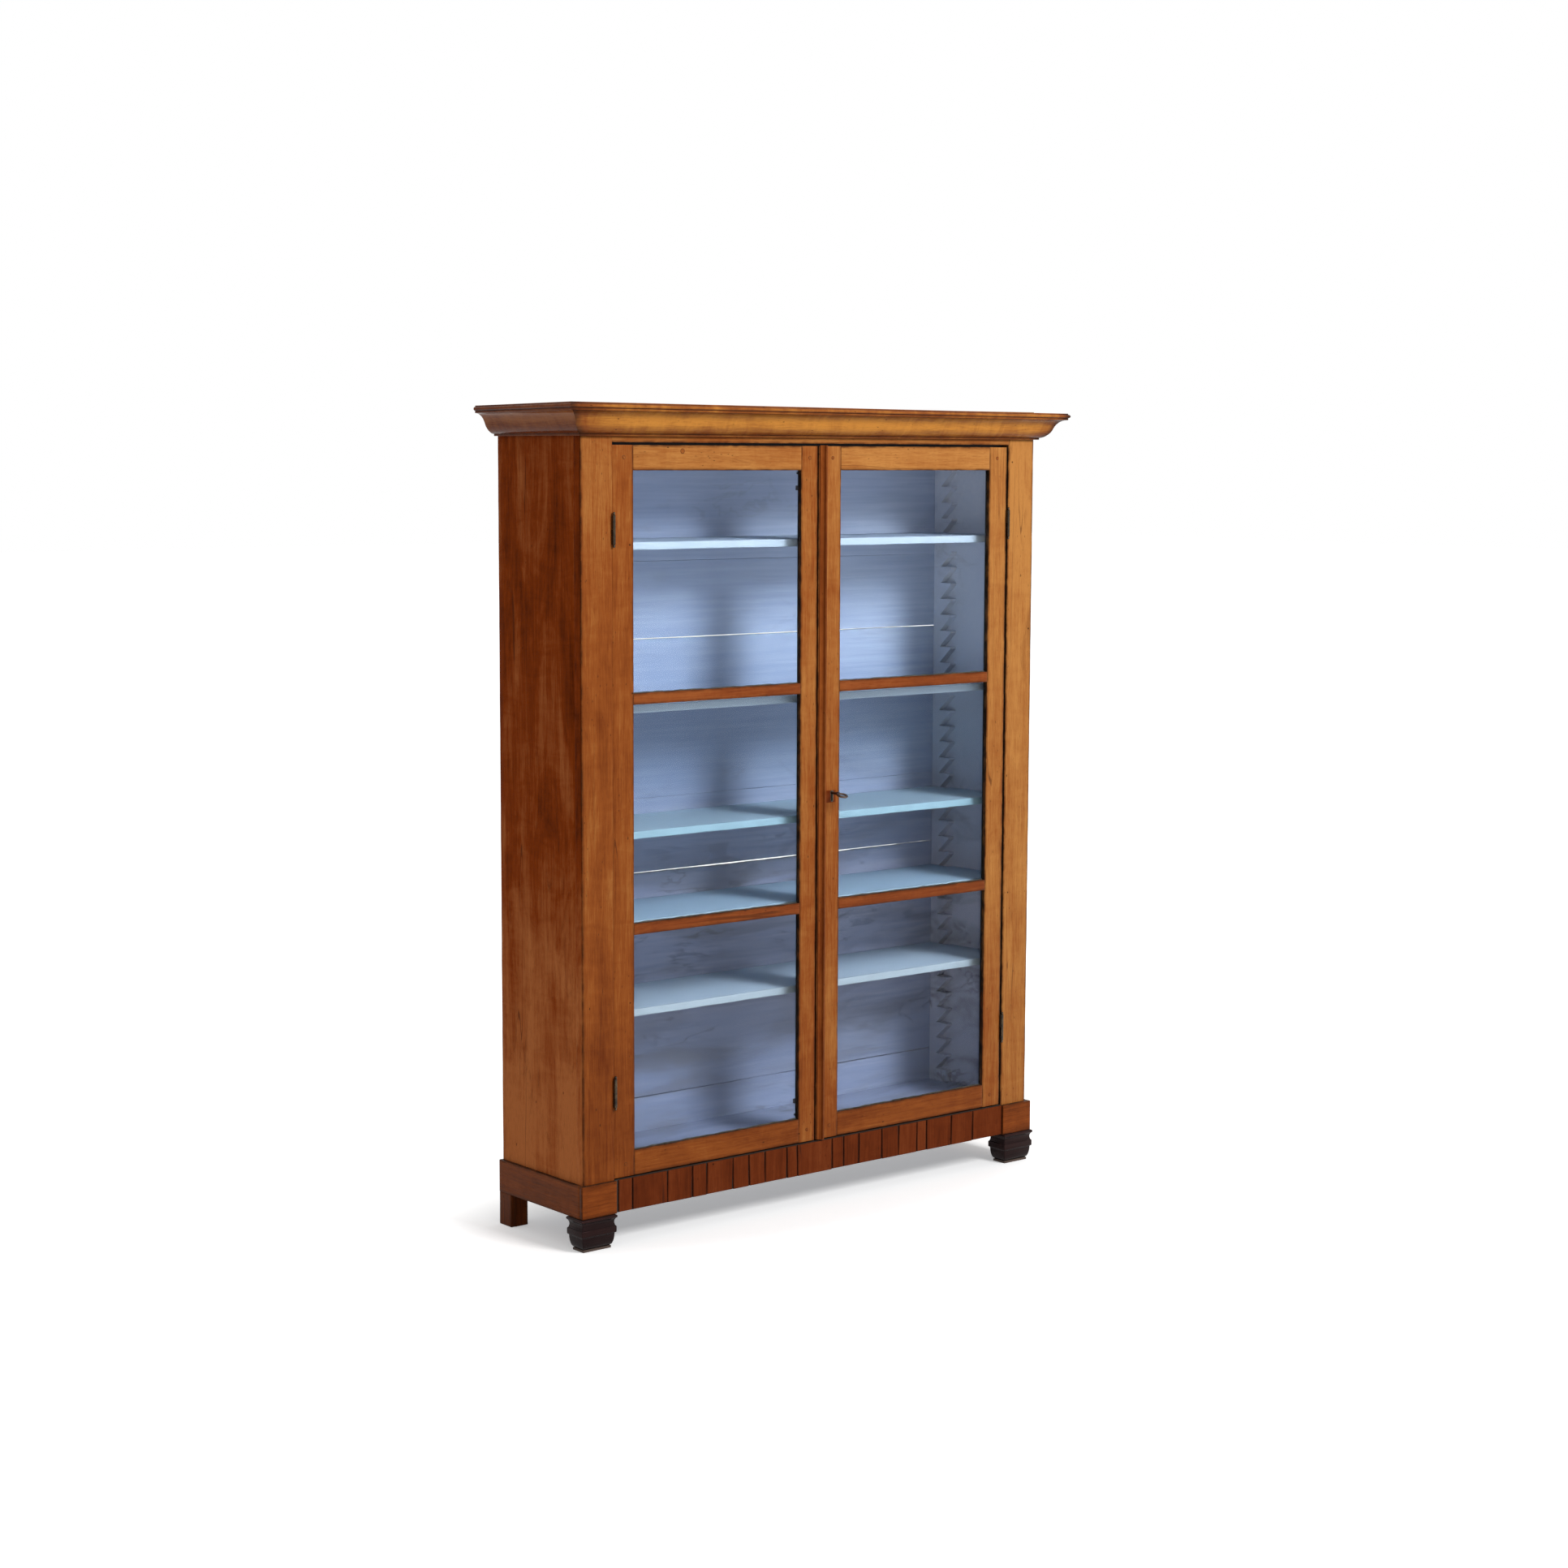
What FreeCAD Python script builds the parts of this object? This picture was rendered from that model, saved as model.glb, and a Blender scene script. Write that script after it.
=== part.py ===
import FreeCAD, Part
import math
import os
import Sketcher

# Bookcase with two glazed doors, a moulded cornice and a plinth on feet.
# The frame has X to the right, Y to the back and Z up. Its origin is on the floor, below the middle of the
# box that the whole bookcase fills.

SIZES = (
    ("case_width", 1280, "carcass across the side boards"),
    ("case_depth", 300, "carcass from pilaster face to back"),
    ("side_thickness", 28, "side board"),
    ("pilaster_width", 79, "front stile of the carcass"),
    ("pilaster_thickness", 24, "front stile of the carcass, and the frieze between the two"),
    ("tongue_thickness", 8, "tongue of the side board in the pilaster"),
    ("tongue_length", 10, "tongue of the side board in the pilaster"),
    ("rail_tenon_length", 20, "tenons of frieze and apron in the pilasters"),
    ("rail_tenon_thickness", 10, "tenons of frieze and apron in the pilasters"),
    ("rail_tenon_set", 6, "face of the carcass to those tenons"),
    ("rail_tenon_shoulder", 12, "shoulder above and below those tenons"),
    ("board_thickness", 22, "top board and bottom board"),
    ("housing_depth", 8, "housing of those boards in the sides"),
    ("top_board_lap", 13, "doors over the top board's front edge"),
    ("bottom_board_lap", 7, "doors over the bottom board's front edge"),
    ("cover_thickness", 12, "dust board on top"),
    ("back_thickness", 15, "back boards"),
    ("back_rebate", 14, "lap of the back boards on the sides"),
    ("back_board_1", 99.5, "width of the lowest back board"),
    ("back_board_2", 252.5, "width of the second back board"),
    ("back_board_3", 253, "width of the third back board"),
    ("back_board_4", 165, "width of the fourth back board"),
    ("back_board_5", 351, "width of the fifth back board"),
    ("back_board_6", 169, "width of the sixth back board"),
    ("open_joint", 3, "back joint that light comes through"),
    ("tight_joint", 0.5, "other back joints"),
    ("foot_height", 72, "floor to the plinth's lower edge"),
    ("plinth_height", 70, "plinth board"),
    ("plinth_projection", 10, "plinth board's thickness, all proud of the carcass"),
    ("apron_recess", 4, "apron face behind the plinth blocks"),
    ("apron_thickness", 22, "apron core"),
    ("veneer_thickness", 4, "apron staves"),
    ("stave_gap", 0.4, "crack between two staves"),
    ("stave_count", 19, "number of staves"),
    ("leg_depth", 45, "back leg along the side"),
    ("leg_round", 7, "rounded heel of the back leg"),
    ("post_width", 33, "post behind the back leg"),
    ("foot_depth", 50, "front foot at its block, front to back"),
    ("foot_inset", 6, "front foot's block inside the plinth block's inner edge"),
    ("foot_bead_radius", 4, "bead at the top of the front foot"),
    ("foot_bead_set", 2, "bead and band centres outside the block"),
    ("foot_cove_height", 21.5, "hollow between bead and band"),
    ("foot_cove_radius", 13, "hollow between bead and band"),
    ("foot_band_radius", 4.5, "band round the middle of the foot"),
    ("foot_round", 9, "rounded lower edge of the foot"),
    ("sole_height", 5, "sole under the foot"),
    ("sole_inset", 6, "sole inside the foot's block"),
    ("frieze_height", 12.5, "frieze that shows between doors and cornice"),
    ("cornice_fillet_projection", 9, "lowest fillet of the cornice"),
    ("cornice_fillet_height", 5, "lowest fillet of the cornice"),
    ("cornice_curve_radius", 22, "round and hollow of the cornice"),
    ("cornice_quirk", 1, "step under the cornice bead"),
    ("cornice_bead_set", 1.5, "bead centre beyond the hollow"),
    ("cornice_bead_radius", 5.5, "bead at the cornice's edge"),
    ("cornice_top_fillet", 2, "flat above the bead"),
    ("rack_width", 59, "shelf rack along the side"),
    ("rack_thickness", 18, "shelf rack, and the bearers in it"),
    ("rack_tooth_depth", 37, "notch of the rack"),
    ("rack_tooth_land", 4, "blunt tip of a tooth"),
    ("rack_foot", 29, "below the lowest notch"),
    ("rack_head", 43, "above the highest tooth"),
    ("rack_notches", 38, "number of notches"),
    ("bearer_height", 27, "shelf bearer"),
    ("bearer_clearance", 0.3, "bearer end to notch"),
    ("shelf_thickness", 16, "shelf"),
    ("shelf_setback", 44, "shelf's front edge behind the carcass face"),
    ("shelf_clearance", 1, "shelf to racks, sides and back"),
    ("shelf_1_notch_count", 7, "notches below the lowest shelf's own"),
    ("shelf_2_notch_count", 12, "notches below the second shelf's own"),
    ("shelf_3_notch_count", 17, "notches below the third shelf's own"),
    ("shelf_4_notch_count", 24, "notches below the fourth shelf's own"),
    ("shelf_5_notch_count", 33, "notches below the top shelf's own"),
    ("door_height", 1536, "door"),
    ("door_thickness", 22, "door"),
    ("door_bottom_gap", 3, "door above the plinth"),
    ("door_top_gap", 3.5, "door below the frieze"),
    ("left_hinge_gap", 2, "left door to its pilaster"),
    ("right_hinge_gap", 5.5, "right door to its pilaster"),
    ("meeting_offset", 9, "middle of the meeting gap, left of the middle"),
    ("meeting_gap", 4, "between the doors"),
    ("left_hinge_stile", 52, "width of the left door's outer stile"),
    ("left_meeting_stile", 46, "width of the left door's inner stile"),
    ("right_meeting_stile", 63, "width of the right door's inner stile"),
    ("right_hinge_stile", 54, "width of the right door's outer stile"),
    ("top_rail", 54, "height of the doors' top rails"),
    ("bottom_rail", 53.5, "height of the doors' bottom rails"),
    ("glazing_bar", 24, "height of a glazing bar"),
    ("glass_lip", 9, "wood in front of the glass"),
    ("glass_rebate", 8, "overlap of the wood on the glass"),
    ("glass_thickness", 2.5, "pane"),
    ("glass_clearance", 1, "pane edge to rebate"),
    ("putty_edge", 0.5, "blunt edge of the putty"),
    ("tenon_length", 30, "tenons of the door rails"),
    ("tenon_thickness", 8, "tenons of the door rails and bars"),
    ("tenon_set", 2, "tenon behind the glass lip"),
    ("tenon_shoulder", 10, "wood between a rail tenon and the door's end"),
    ("bar_tenon_length", 10, "tenons of the glazing bars"),
    ("peg_radius", 4, "pegs through the door tenons"),
    ("peg_clearance", 0.05, "peg to its hole"),
    ("peg_inset", 24, "peg from the stile's inner edge"),
    ("strip_width", 14, "cover strip on the right door's meeting edge"),
    ("strip_height", 11, "cover strip, proud of the door"),
    ("strip_set", 2, "cover strip inside the door's edge"),
    ("strip_fillet", 2, "foot of the cover strip's hollow"),
    ("strip_hollow", 9, "radius of the cover strip's hollow"),
    ("strip_round", 1.5, "rounded edge of the cover strip"),
    ("barrel_radius", 3.3, "hinge barrel"),
    ("hinge_pin_radius", 1.8, "hinge pin"),
    ("hinge_clearance", 0.05, "pin to barrel"),
    ("knuckle_length", 30, "each half of the barrel"),
    ("knuckle_gap", 0.4, "between the halves of the barrel"),
    ("finial_length", 6.5, "turned end of the barrel"),
    ("finial_neck", 1.6, "radius of the finial's neck"),
    ("pin_end_wall", 1.5, "metal between pin and finial"),
    ("leaf_thickness", 1.8, "hinge leaf"),
    ("leaf_depth", 18, "hinge leaf behind the face"),
    ("barrel_standoff", 1.7, "barrel in front of the face"),
    ("upper_hinge_drop", 175, "middle of the upper hinge below the door's top"),
    ("lower_hinge_rise", 184, "middle of the lower hinge above the door's foot"),
    ("key_inset", 42, "key from the right door's meeting edge"),
    ("key_rise", 775, "key above the door's foot"),
    ("key_reach", 48, "key in front of the carcass face"),
    ("key_shank_radius", 3, "key shank"),
    ("key_collar_radius", 4.4, "key collar"),
    ("key_collar_length", 4, "key collar"),
    ("key_bow_radius", 10.5, "ring of the key, at the middle of its wire"),
    ("key_wire_radius", 2.4, "wire of the key's ring"),
    ("key_droop", 15, "ring bent down, in degrees"),
    ("key_sag", 2.7, "middle of the ring below the shank"),
    ("key_bit_radius", 14, "bit from the middle of the shank"),
    ("key_bit_width", 7, "bit along the shank"),
    ("key_bit_thickness", 2.5, "bit"),
    ("key_clearance", 0.05, "shank in the lock's end plate"),
    ("liner_radius", 5.5, "keyhole liner, round part"),
    ("liner_slot_radius", 3.5, "keyhole liner, lower end"),
    ("liner_drop", 16.5, "keyhole liner, from the round part to the lower end"),
    ("liner_wall", 1.6, "keyhole liner"),
    ("liner_depth", 8, "keyhole liner in the wood"),
    ("lock_set", 2, "lock case inside the door's edge"),
    ("lock_width", 57, "lock case"),
    ("lock_below", 23, "lock case below the key"),
    ("lock_above", 29, "lock case above the key"),
    ("lock_depth", 12, "lock case"),
    ("lock_wall", 1.5, "lock case"),
    ("bolt_length", 40, "lock bolt"),
    ("bolt_height", 10, "lock bolt"),
    ("bolt_thickness", 6, "lock bolt"),
    ("bolt_rise", 15, "lock bolt's lower edge above the key"),
    ("bolt_set", 3, "lock bolt behind the door"),
    ("bolt_clearance", 0.1, "lock bolt in its slot"),
    ("slide_plate_width", 20, "slide bolt plate"),
    ("slide_plate_length", 90, "slide bolt plate"),
    ("slide_plate_thickness", 2, "slide bolt plate"),
    ("slide_plate_gap", 2, "slide bolt plate to the board that it bolts to"),
    ("slide_radius", 4, "slide bolt"),
    ("slide_length", 74, "slide bolt"),
    ("slide_set", 10, "slide bolt's middle behind the door"),
    ("slide_gap", 4, "drawn slide bolt to the board that it bolts to"),
    ("slide_clearance", 0.05, "slide bolt in its staples"),
    ("staple_height", 10, "staple of the slide bolt"),
    ("staple_wall", 3, "staple round the slide bolt"),
    ("staple_end", 8, "plate beyond a staple"),
    ("knob_radius", 3, "knob of the slide bolt"),
    ("knob_length", 9.5, "knob from the middle of the slide bolt"),
    ("keeper_depth", 14, "hole that takes the slide bolt"),
    ("keeper_clearance", 0.5, "slide bolt in that hole"),
)

doc = FreeCAD.newDocument("glazed_bookcase")
sheet = doc.addObject("Spreadsheet::Sheet", "dim")


class Size:
    """A length that carries its value and the sheet formula that gives it."""

    def __init__(self, value, formula):
        self.value = float(value)
        self.formula = formula

    def __add__(self, other):
        other = as_size(other)
        return Size(self.value + other.value, f"({self.formula} + {other.formula})")

    def __sub__(self, other):
        other = as_size(other)
        return Size(self.value - other.value, f"({self.formula} - {other.formula})")

    def __mul__(self, factor):
        factor = as_size(factor)
        return Size(self.value * factor.value, f"({self.formula} * {factor.formula})")

    def __truediv__(self, divisor):
        divisor = as_size(divisor)
        return Size(self.value / divisor.value, f"({self.formula} / {divisor.formula})")

    def __neg__(self):
        return self * -1

    def __rsub__(self, other):
        return as_size(other) - self

    __radd__ = __add__
    __rmul__ = __mul__


def as_size(number):
    """Give a plain number the form of a Size."""
    if isinstance(number, Size):
        return number
    return Size(number, f"({float(number)})")


class Sheet:
    """The driving dimensions by name."""


s = Sheet()
for row, (alias, value, note) in enumerate(SIZES, start=1):
    sheet.set(f"A{row}", note)
    sheet.set(f"B{row}", str(value))
    sheet.setAlias(f"B{row}", alias)
    setattr(s, alias, Size(value, f"dim.{alias}"))
doc.recompute()

LEFT = -1
RIGHT = 1
SIDE_NAME = {LEFT: "left", RIGHT: "right"}
nodes = []


# Building blocks

def bind(thing, field, size):
    """Tie a property to the sheet."""
    thing.setExpression(field, as_size(size).formula)


def span(one, other):
    """Two ends in rising order."""
    one = as_size(one)
    other = as_size(other)
    return (one, other) if one.value <= other.value else (other, one)


def widened(ends, extra):
    """A stretch made longer by the same amount at both ends."""
    return (ends[0] - extra, ends[1] + extra)


def node(name, thing):
    """Name a finished sub-part."""
    thing.Label = name
    nodes.append(thing)
    return thing


def block(x, y, z):
    """A rectangular block between two ends along each axis."""
    box = doc.addObject("Part::Box", "block")
    for axis, field, (low, high) in (("x", "Length", x), ("y", "Width", y), ("z", "Height", z)):
        bind(box, "Placement.Base." + axis, low)
        bind(box, field, high - low)
    return box


def rod(axis, across, ends, radius):
    """A round bar along an axis; across gives its middle on the other two axes, in X, Y, Z order."""
    bar = doc.addObject("Part::Cylinder", "rod")
    turns = {
        "x": (FreeCAD.Vector(0, 1, 0), 90),
        "y": (FreeCAD.Vector(1, 0, 0), -90),
        "z": (FreeCAD.Vector(0, 0, 1), 0),
    }
    bar.Placement = FreeCAD.Placement(FreeCAD.Vector(), FreeCAD.Rotation(*turns[axis]))
    bind(bar, "Placement.Base." + axis, ends[0])
    for other, middle in zip("xyz".replace(axis, ""), across):
        bind(bar, "Placement.Base." + other, middle)
    bind(bar, "Height", ends[1] - ends[0])
    bind(bar, "Radius", radius)
    return bar


def taper(axis, ends, low_section, high_section):
    """A block whose section changes evenly along an axis.

    A section is a pair of stretches on the other two axes, in X, Y, Z order. The wedge runs along its own Y,
    so for X and Z it is turned and the stretch along Y changes sign.
    """
    wedge = doc.addObject("Part::Wedge", "taper")
    turns = {
        "x": (FreeCAD.Vector(0, 0, 1), -90),
        "y": (FreeCAD.Vector(0, 0, 1), 0),
        "z": (FreeCAD.Vector(1, 0, 0), 90),
    }
    wedge.Placement = FreeCAD.Placement(FreeCAD.Vector(), FreeCAD.Rotation(*turns[axis]))
    bind(wedge, "Ymin", ends[0])
    bind(wedge, "Ymax", ends[1])
    for mark, (first, second) in (("", low_section), ("2", high_section)):
        if axis == "x":
            first = (-first[1], -first[0])
        if axis == "z":
            second = (-second[1], -second[0])
        bind(wedge, f"X{mark}min", first[0])
        bind(wedge, f"X{mark}max", first[1])
        bind(wedge, f"Z{mark}min", second[0])
        bind(wedge, f"Z{mark}max", second[1])
    return wedge


def joined(*pieces):
    """Wood or metal that is one piece."""
    union = doc.addObject("Part::MultiFuse", "joined")
    union.Shapes = list(pieces)
    union.Refine = True
    return union


def cut(stock, *tools):
    """Stock with each tool's shape taken away."""
    result = doc.addObject("Part::Cut", "cut")
    result.Base = stock
    result.Tool = tools[0] if len(tools) == 1 else joined(*tools)
    result.Refine = True
    return result


def shared(one, other):
    """What two shapes have in common."""
    result = doc.addObject("Part::Common", "shared")
    result.Base = one
    result.Tool = other
    return result


def group(pieces):
    """Separate solids that share a node."""
    bundle = doc.addObject("Part::Compound", "group")
    bundle.Links = list(pieces)
    return bundle


def mirrored(piece):
    """The same piece for the other side of the bookcase."""
    image = doc.addObject("Part::Mirroring", "mirrored")
    image.Source = piece
    image.Normal = FreeCAD.Vector(1, 0, 0)
    return image


def add_sketch(body, plane, offset, corners):
    """A closed outline on one of the body's planes, moved along the plane's normal.

    A corner is its two coordinates. Where the edge that ends there is an arc of up to a quarter turn, the
    corner also gives the arc's radius and the two coordinates of its centre.
    """
    sketch = body.newObject("Sketcher::SketchObject", "outline")
    support = next(item for item in body.Origin.OriginFeatures if item.Role == plane)
    sketch.AttachmentSupport = (support, [""])
    sketch.MapMode = "FlatFace"
    bind(sketch, "AttachmentOffset.Base.z", offset)
    first_ends = []
    last_ends = []
    for index, corner in enumerate(corners):
        start = [as_size(place).value for place in corners[index - 1][:2]]
        end = [as_size(place).value for place in corner[:2]]
        if len(corner) == 2:
            edge = sketch.addGeometry(Part.LineSegment(FreeCAD.Vector(*start), FreeCAD.Vector(*end)))
            first_ends.append((edge, 1))
            last_ends.append((edge, 2))
            continue
        radius = as_size(corner[2])
        centre = [as_size(place).value for place in corner[3:]]
        start_angle = math.atan2(start[1] - centre[1], start[0] - centre[0])
        end_angle = math.atan2(end[1] - centre[1], end[0] - centre[0])
        circle = Part.Circle(FreeCAD.Vector(*centre), FreeCAD.Vector(0, 0, 1), radius.value)
        forward = (end_angle - start_angle) % math.tau < math.pi
        angles = (start_angle, end_angle) if forward else (end_angle, start_angle)
        edge = sketch.addGeometry(Part.ArcOfCircle(circle, *angles))
        first_ends.append((edge, 1 if forward else 2))
        last_ends.append((edge, 2 if forward else 1))
    for index, corner in enumerate(corners):
        sketch.addConstraint(Sketcher.Constraint("Coincident", *first_ends[index], *last_ends[index - 1]))
        for kind, place in (("DistanceX", corner[0]), ("DistanceY", corner[1])):
            place = as_size(place)
            rule = sketch.addConstraint(Sketcher.Constraint(kind, -1, 1, *last_ends[index], place.value))
            sketch.setExpression(f"Constraints[{rule}]", place.formula)
        if len(corner) > 2:
            radius = as_size(corner[2])
            rule = sketch.addConstraint(Sketcher.Constraint("Radius", last_ends[index][0], radius.value))
            sketch.setExpression(f"Constraints[{rule}]", radius.formula)
    return sketch


def prism(plane, start, length, corners):
    """A body of constant section: an outline on a plane, carried along the plane's normal."""
    body = doc.addObject("PartDesign::Body", "prism")
    sketch = add_sketch(body, plane, start, corners)
    doc.recompute()
    pad = body.newObject("PartDesign::Pad", "pad")
    pad.Profile = sketch
    bind(pad, "Length", length)
    return body


# Main planes and heights

half = s.case_width / 2
inner = half - s.side_thickness
opening = half - s.pilaster_width
cornice_projection = (
    s.cornice_fillet_projection + 2 * s.cornice_curve_radius + s.cornice_bead_set + s.cornice_bead_radius
)
cornice_height = (
    s.cornice_fillet_height
    + 2 * s.cornice_curve_radius
    + s.cornice_quirk
    + 2 * s.cornice_bead_radius
    + s.cornice_top_fillet
)
front = (cornice_projection - s.case_depth) / 2
back = front + s.case_depth
back_face = back - s.back_thickness
board_front = front + s.pilaster_thickness

floor = as_size(0)
plinth_bottom = s.foot_height
plinth_top = plinth_bottom + s.plinth_height
door_bottom = plinth_top + s.door_bottom_gap
door_top = door_bottom + s.door_height
frieze_bottom = door_top + s.door_top_gap
cornice_bottom = frieze_bottom + s.frieze_height
cornice_top = cornice_bottom + cornice_height
cover_bottom = cornice_top - s.cover_thickness
bottom_board_top = door_bottom + s.bottom_board_lap
bottom_board_bottom = bottom_board_top - s.board_thickness
top_board_bottom = door_top - s.top_board_lap
top_board_top = top_board_bottom + s.board_thickness

door_back = front + s.door_thickness
glass_front = front + s.glass_lip
sight_bottom = door_bottom + s.bottom_rail
sight_top = door_top - s.top_rail
pane_height = (sight_top - sight_bottom - 2 * s.glazing_bar) / 3
pane_spans = []
bar_spans = []
level = sight_bottom
for pane in range(3):
    pane_spans.append((level, level + pane_height))
    level = level + pane_height
    if pane < 2:
        bar_spans.append((level, level + s.glazing_bar))
        level = level + s.glazing_bar

hinge_gap = {LEFT: s.left_hinge_gap, RIGHT: s.right_hinge_gap}
hinge_axis_y = front - s.barrel_radius - s.barrel_standoff
hinge_levels = (door_top - s.upper_hinge_drop, door_bottom + s.lower_hinge_rise)
meeting_edge = {LEFT: -s.meeting_offset - s.meeting_gap / 2, RIGHT: -s.meeting_offset + s.meeting_gap / 2}
frame_leaf_below = -1
door_leaf_above = 1

slide_x = meeting_edge[LEFT] - s.left_meeting_stile / 2
slide_y = door_back + s.slide_set
key_x = meeting_edge[RIGHT] + s.key_inset
key_z = door_bottom + s.key_rise


def leaf_height(level, way):
    """Height of one half of a hinge, above or below the middle of the barrel."""
    near = level + way * s.knuckle_gap / 2
    return span(near, near + way * s.knuckle_length)


# Carcass

def make_sides():
    """Side boards with a tongue in front, a rebate behind and housings for the two inner boards."""
    tongue_left = -half + (s.side_thickness - s.tongue_thickness) / 2
    full_height = (plinth_bottom, cover_bottom)
    housing = (-inner - s.housing_depth, -inner)
    stock = joined(
        block((-half, -inner), (board_front, back), full_height),
        block(
            (tongue_left, tongue_left + s.tongue_thickness),
            (board_front - s.tongue_length, board_front),
            full_height,
        ),
    )
    left = cut(
        stock,
        block((-inner - s.back_rebate, -inner), (back_face, back), full_height),
        block(housing, (board_front, back_face), (bottom_board_bottom, bottom_board_top)),
        block(housing, (board_front, back_face), (top_board_bottom, top_board_top)),
    )
    node("left_side", left)
    node("right_side", mirrored(left))


def rail_tenon_depth():
    """Where the tenons of frieze and apron lie, front to back."""
    return (front + s.rail_tenon_set, front + s.rail_tenon_set + s.rail_tenon_thickness)


def frieze_tenon_height():
    """Where the frieze's tenons lie in height."""
    return (frieze_bottom + s.rail_tenon_shoulder, cover_bottom - s.rail_tenon_shoulder)


def apron_tenon_height():
    """Where the apron's tenons lie in height."""
    return (plinth_bottom + s.rail_tenon_shoulder, plinth_top - s.rail_tenon_shoulder)


def make_pilasters():
    """Front stiles, grooved for the sides, mortised for frieze and apron and let in for the hinge leaves."""
    tongue_left = -half + (s.side_thickness - s.tongue_thickness) / 2
    full_height = (plinth_bottom, cover_bottom)
    mortise = (-opening - s.rail_tenon_length, -opening)
    tools = [
        block(
            (tongue_left, tongue_left + s.tongue_thickness),
            (board_front - s.tongue_length, board_front),
            full_height,
        ),
        block(mortise, rail_tenon_depth(), frieze_tenon_height()),
        block(mortise, rail_tenon_depth(), apron_tenon_height()),
    ]
    for level in hinge_levels:
        recess = (-opening - s.leaf_thickness, -opening)
        tools.append(block(recess, (front, front + s.leaf_depth), leaf_height(level, frame_leaf_below)))
    left = cut(block((-half, -opening), (front, board_front), full_height), *tools)
    node("left_pilaster", left)
    node("right_pilaster", mirrored(left))


def make_rails():
    """Frieze over the doors and apron core under them, both tenoned into the pilasters."""
    between = (-opening, opening)
    with_tenons = widened(between, s.rail_tenon_length)
    frieze = joined(
        block(between, (front, board_front), (frieze_bottom, cover_bottom)),
        block(with_tenons, rail_tenon_depth(), frieze_tenon_height()),
    )
    node("frieze_rail", frieze)
    core_front = front - s.plinth_projection + s.apron_recess + s.veneer_thickness
    apron = joined(
        block(between, (core_front, core_front + s.apron_thickness), (plinth_bottom, plinth_top)),
        block(with_tenons, rail_tenon_depth(), apron_tenon_height()),
    )
    node("apron_core", apron)
    node("apron_staves", make_staves(between, core_front))


def make_staves(between, core_front):
    """Upright veneer staves of uneven width, whose joints wander about an even spacing."""
    count = int(s.stave_count.value)
    length = between[1] - between[0]
    joints = []
    for index in range(count + 1):
        wander = 0.3 * math.sin(2.4 * index) if 0 < index < count else 0.0
        joints.append(between[0] + length * (index + wander) / s.stave_count)
    staves = []
    for low, high in zip(joints, joints[1:]):
        upright = (low + s.stave_gap / 2, high - s.stave_gap / 2)
        depth = (core_front - s.veneer_thickness, core_front)
        staves.append(block(upright, depth, (plinth_bottom, plinth_top)))
    return group(staves)


def make_inner_boards():
    """Top and bottom board in their housings, bored for the slide bolts, and the dust board above."""
    across = widened((-inner, inner), s.housing_depth)
    depth = (board_front, back_face)
    keeper_radius = s.slide_radius + s.keeper_clearance
    top = cut(
        block(across, depth, (top_board_bottom, top_board_top)),
        rod("z", (slide_x, slide_y), (top_board_bottom, top_board_bottom + s.keeper_depth), keeper_radius),
    )
    bottom = cut(
        block(across, depth, (bottom_board_bottom, bottom_board_top)),
        rod("z", (slide_x, slide_y), (bottom_board_top - s.keeper_depth, bottom_board_top), keeper_radius),
    )
    node("top_board", top)
    node("bottom_board", bottom)
    node("dust_board", block((-half, half), (front, back), (cover_bottom, cornice_top)))


def make_back():
    """Boards laid crosswise in the rebates; the joints over the third and the fifth stand open."""
    widths = (s.back_board_1, s.back_board_2, s.back_board_3, s.back_board_4, s.back_board_5, s.back_board_6)
    joints = (s.tight_joint, s.tight_joint, s.open_joint, s.tight_joint, s.open_joint, s.tight_joint)
    across = widened((-inner, inner), s.back_rebate)
    level = bottom_board_bottom
    boards = []
    for width, joint in zip(widths, joints):
        boards.append(block(across, (back_face, back), (level, level + width)))
        level = level + width + joint
    boards.append(block(across, (back_face, back), (level, cover_bottom)))
    node("back_boards", group(boards))


# Cornice

def cornice_outline(place):
    """Fillet, round, hollow and bead; place turns projection and height into coordinates of the plane."""
    radius = s.cornice_curve_radius
    bead = s.cornice_bead_radius
    low = s.cornice_fillet_height
    reach = s.cornice_fillet_projection
    bead_middle = reach + 2 * radius + s.cornice_bead_set
    quirk = low + 2 * radius
    bead_level = quirk + s.cornice_quirk + bead
    return [
        place(0, 0),
        place(reach, 0),
        place(reach, low),
        (*place(reach + radius, low + radius), radius, *place(reach, low + radius)),
        (*place(reach + 2 * radius, quirk), radius, *place(reach + 2 * radius, low + radius)),
        place(bead_middle, quirk),
        place(bead_middle, bead_level - bead),
        (*place(bead_middle + bead, bead_level), bead, *place(bead_middle, bead_level)),
        (*place(bead_middle, bead_level + bead), bead, *place(bead_middle, bead_level)),
        place(bead_middle, cornice_height),
        place(0, cornice_height),
    ]


def make_cornice():
    """Front and side lengths of the moulding, mitred at the two front corners."""
    height = (cornice_bottom, cornice_top)
    outer = half + cornice_projection
    corner = front - cornice_projection
    front_run = prism(
        "YZ_Plane",
        -outer,
        2 * outer,
        cornice_outline(lambda out, up: (front - out, cornice_bottom + up)),
    )
    mitres = taper("y", (corner, front), ((-outer, outer), height), ((-half, half), height))
    node("cornice_front", shared(front_run, mitres))
    left_run = prism(
        "XZ_Plane",
        -back,
        back - corner,
        cornice_outline(lambda out, up: (-half - out, cornice_bottom + up)),
    )
    mitre = taper("x", (-outer, -half), ((corner, back), height), ((front, back), height))
    left = shared(left_run, mitre)
    node("cornice_left", left)
    node("cornice_right", mirrored(left))


# Plinth, legs and feet

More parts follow.
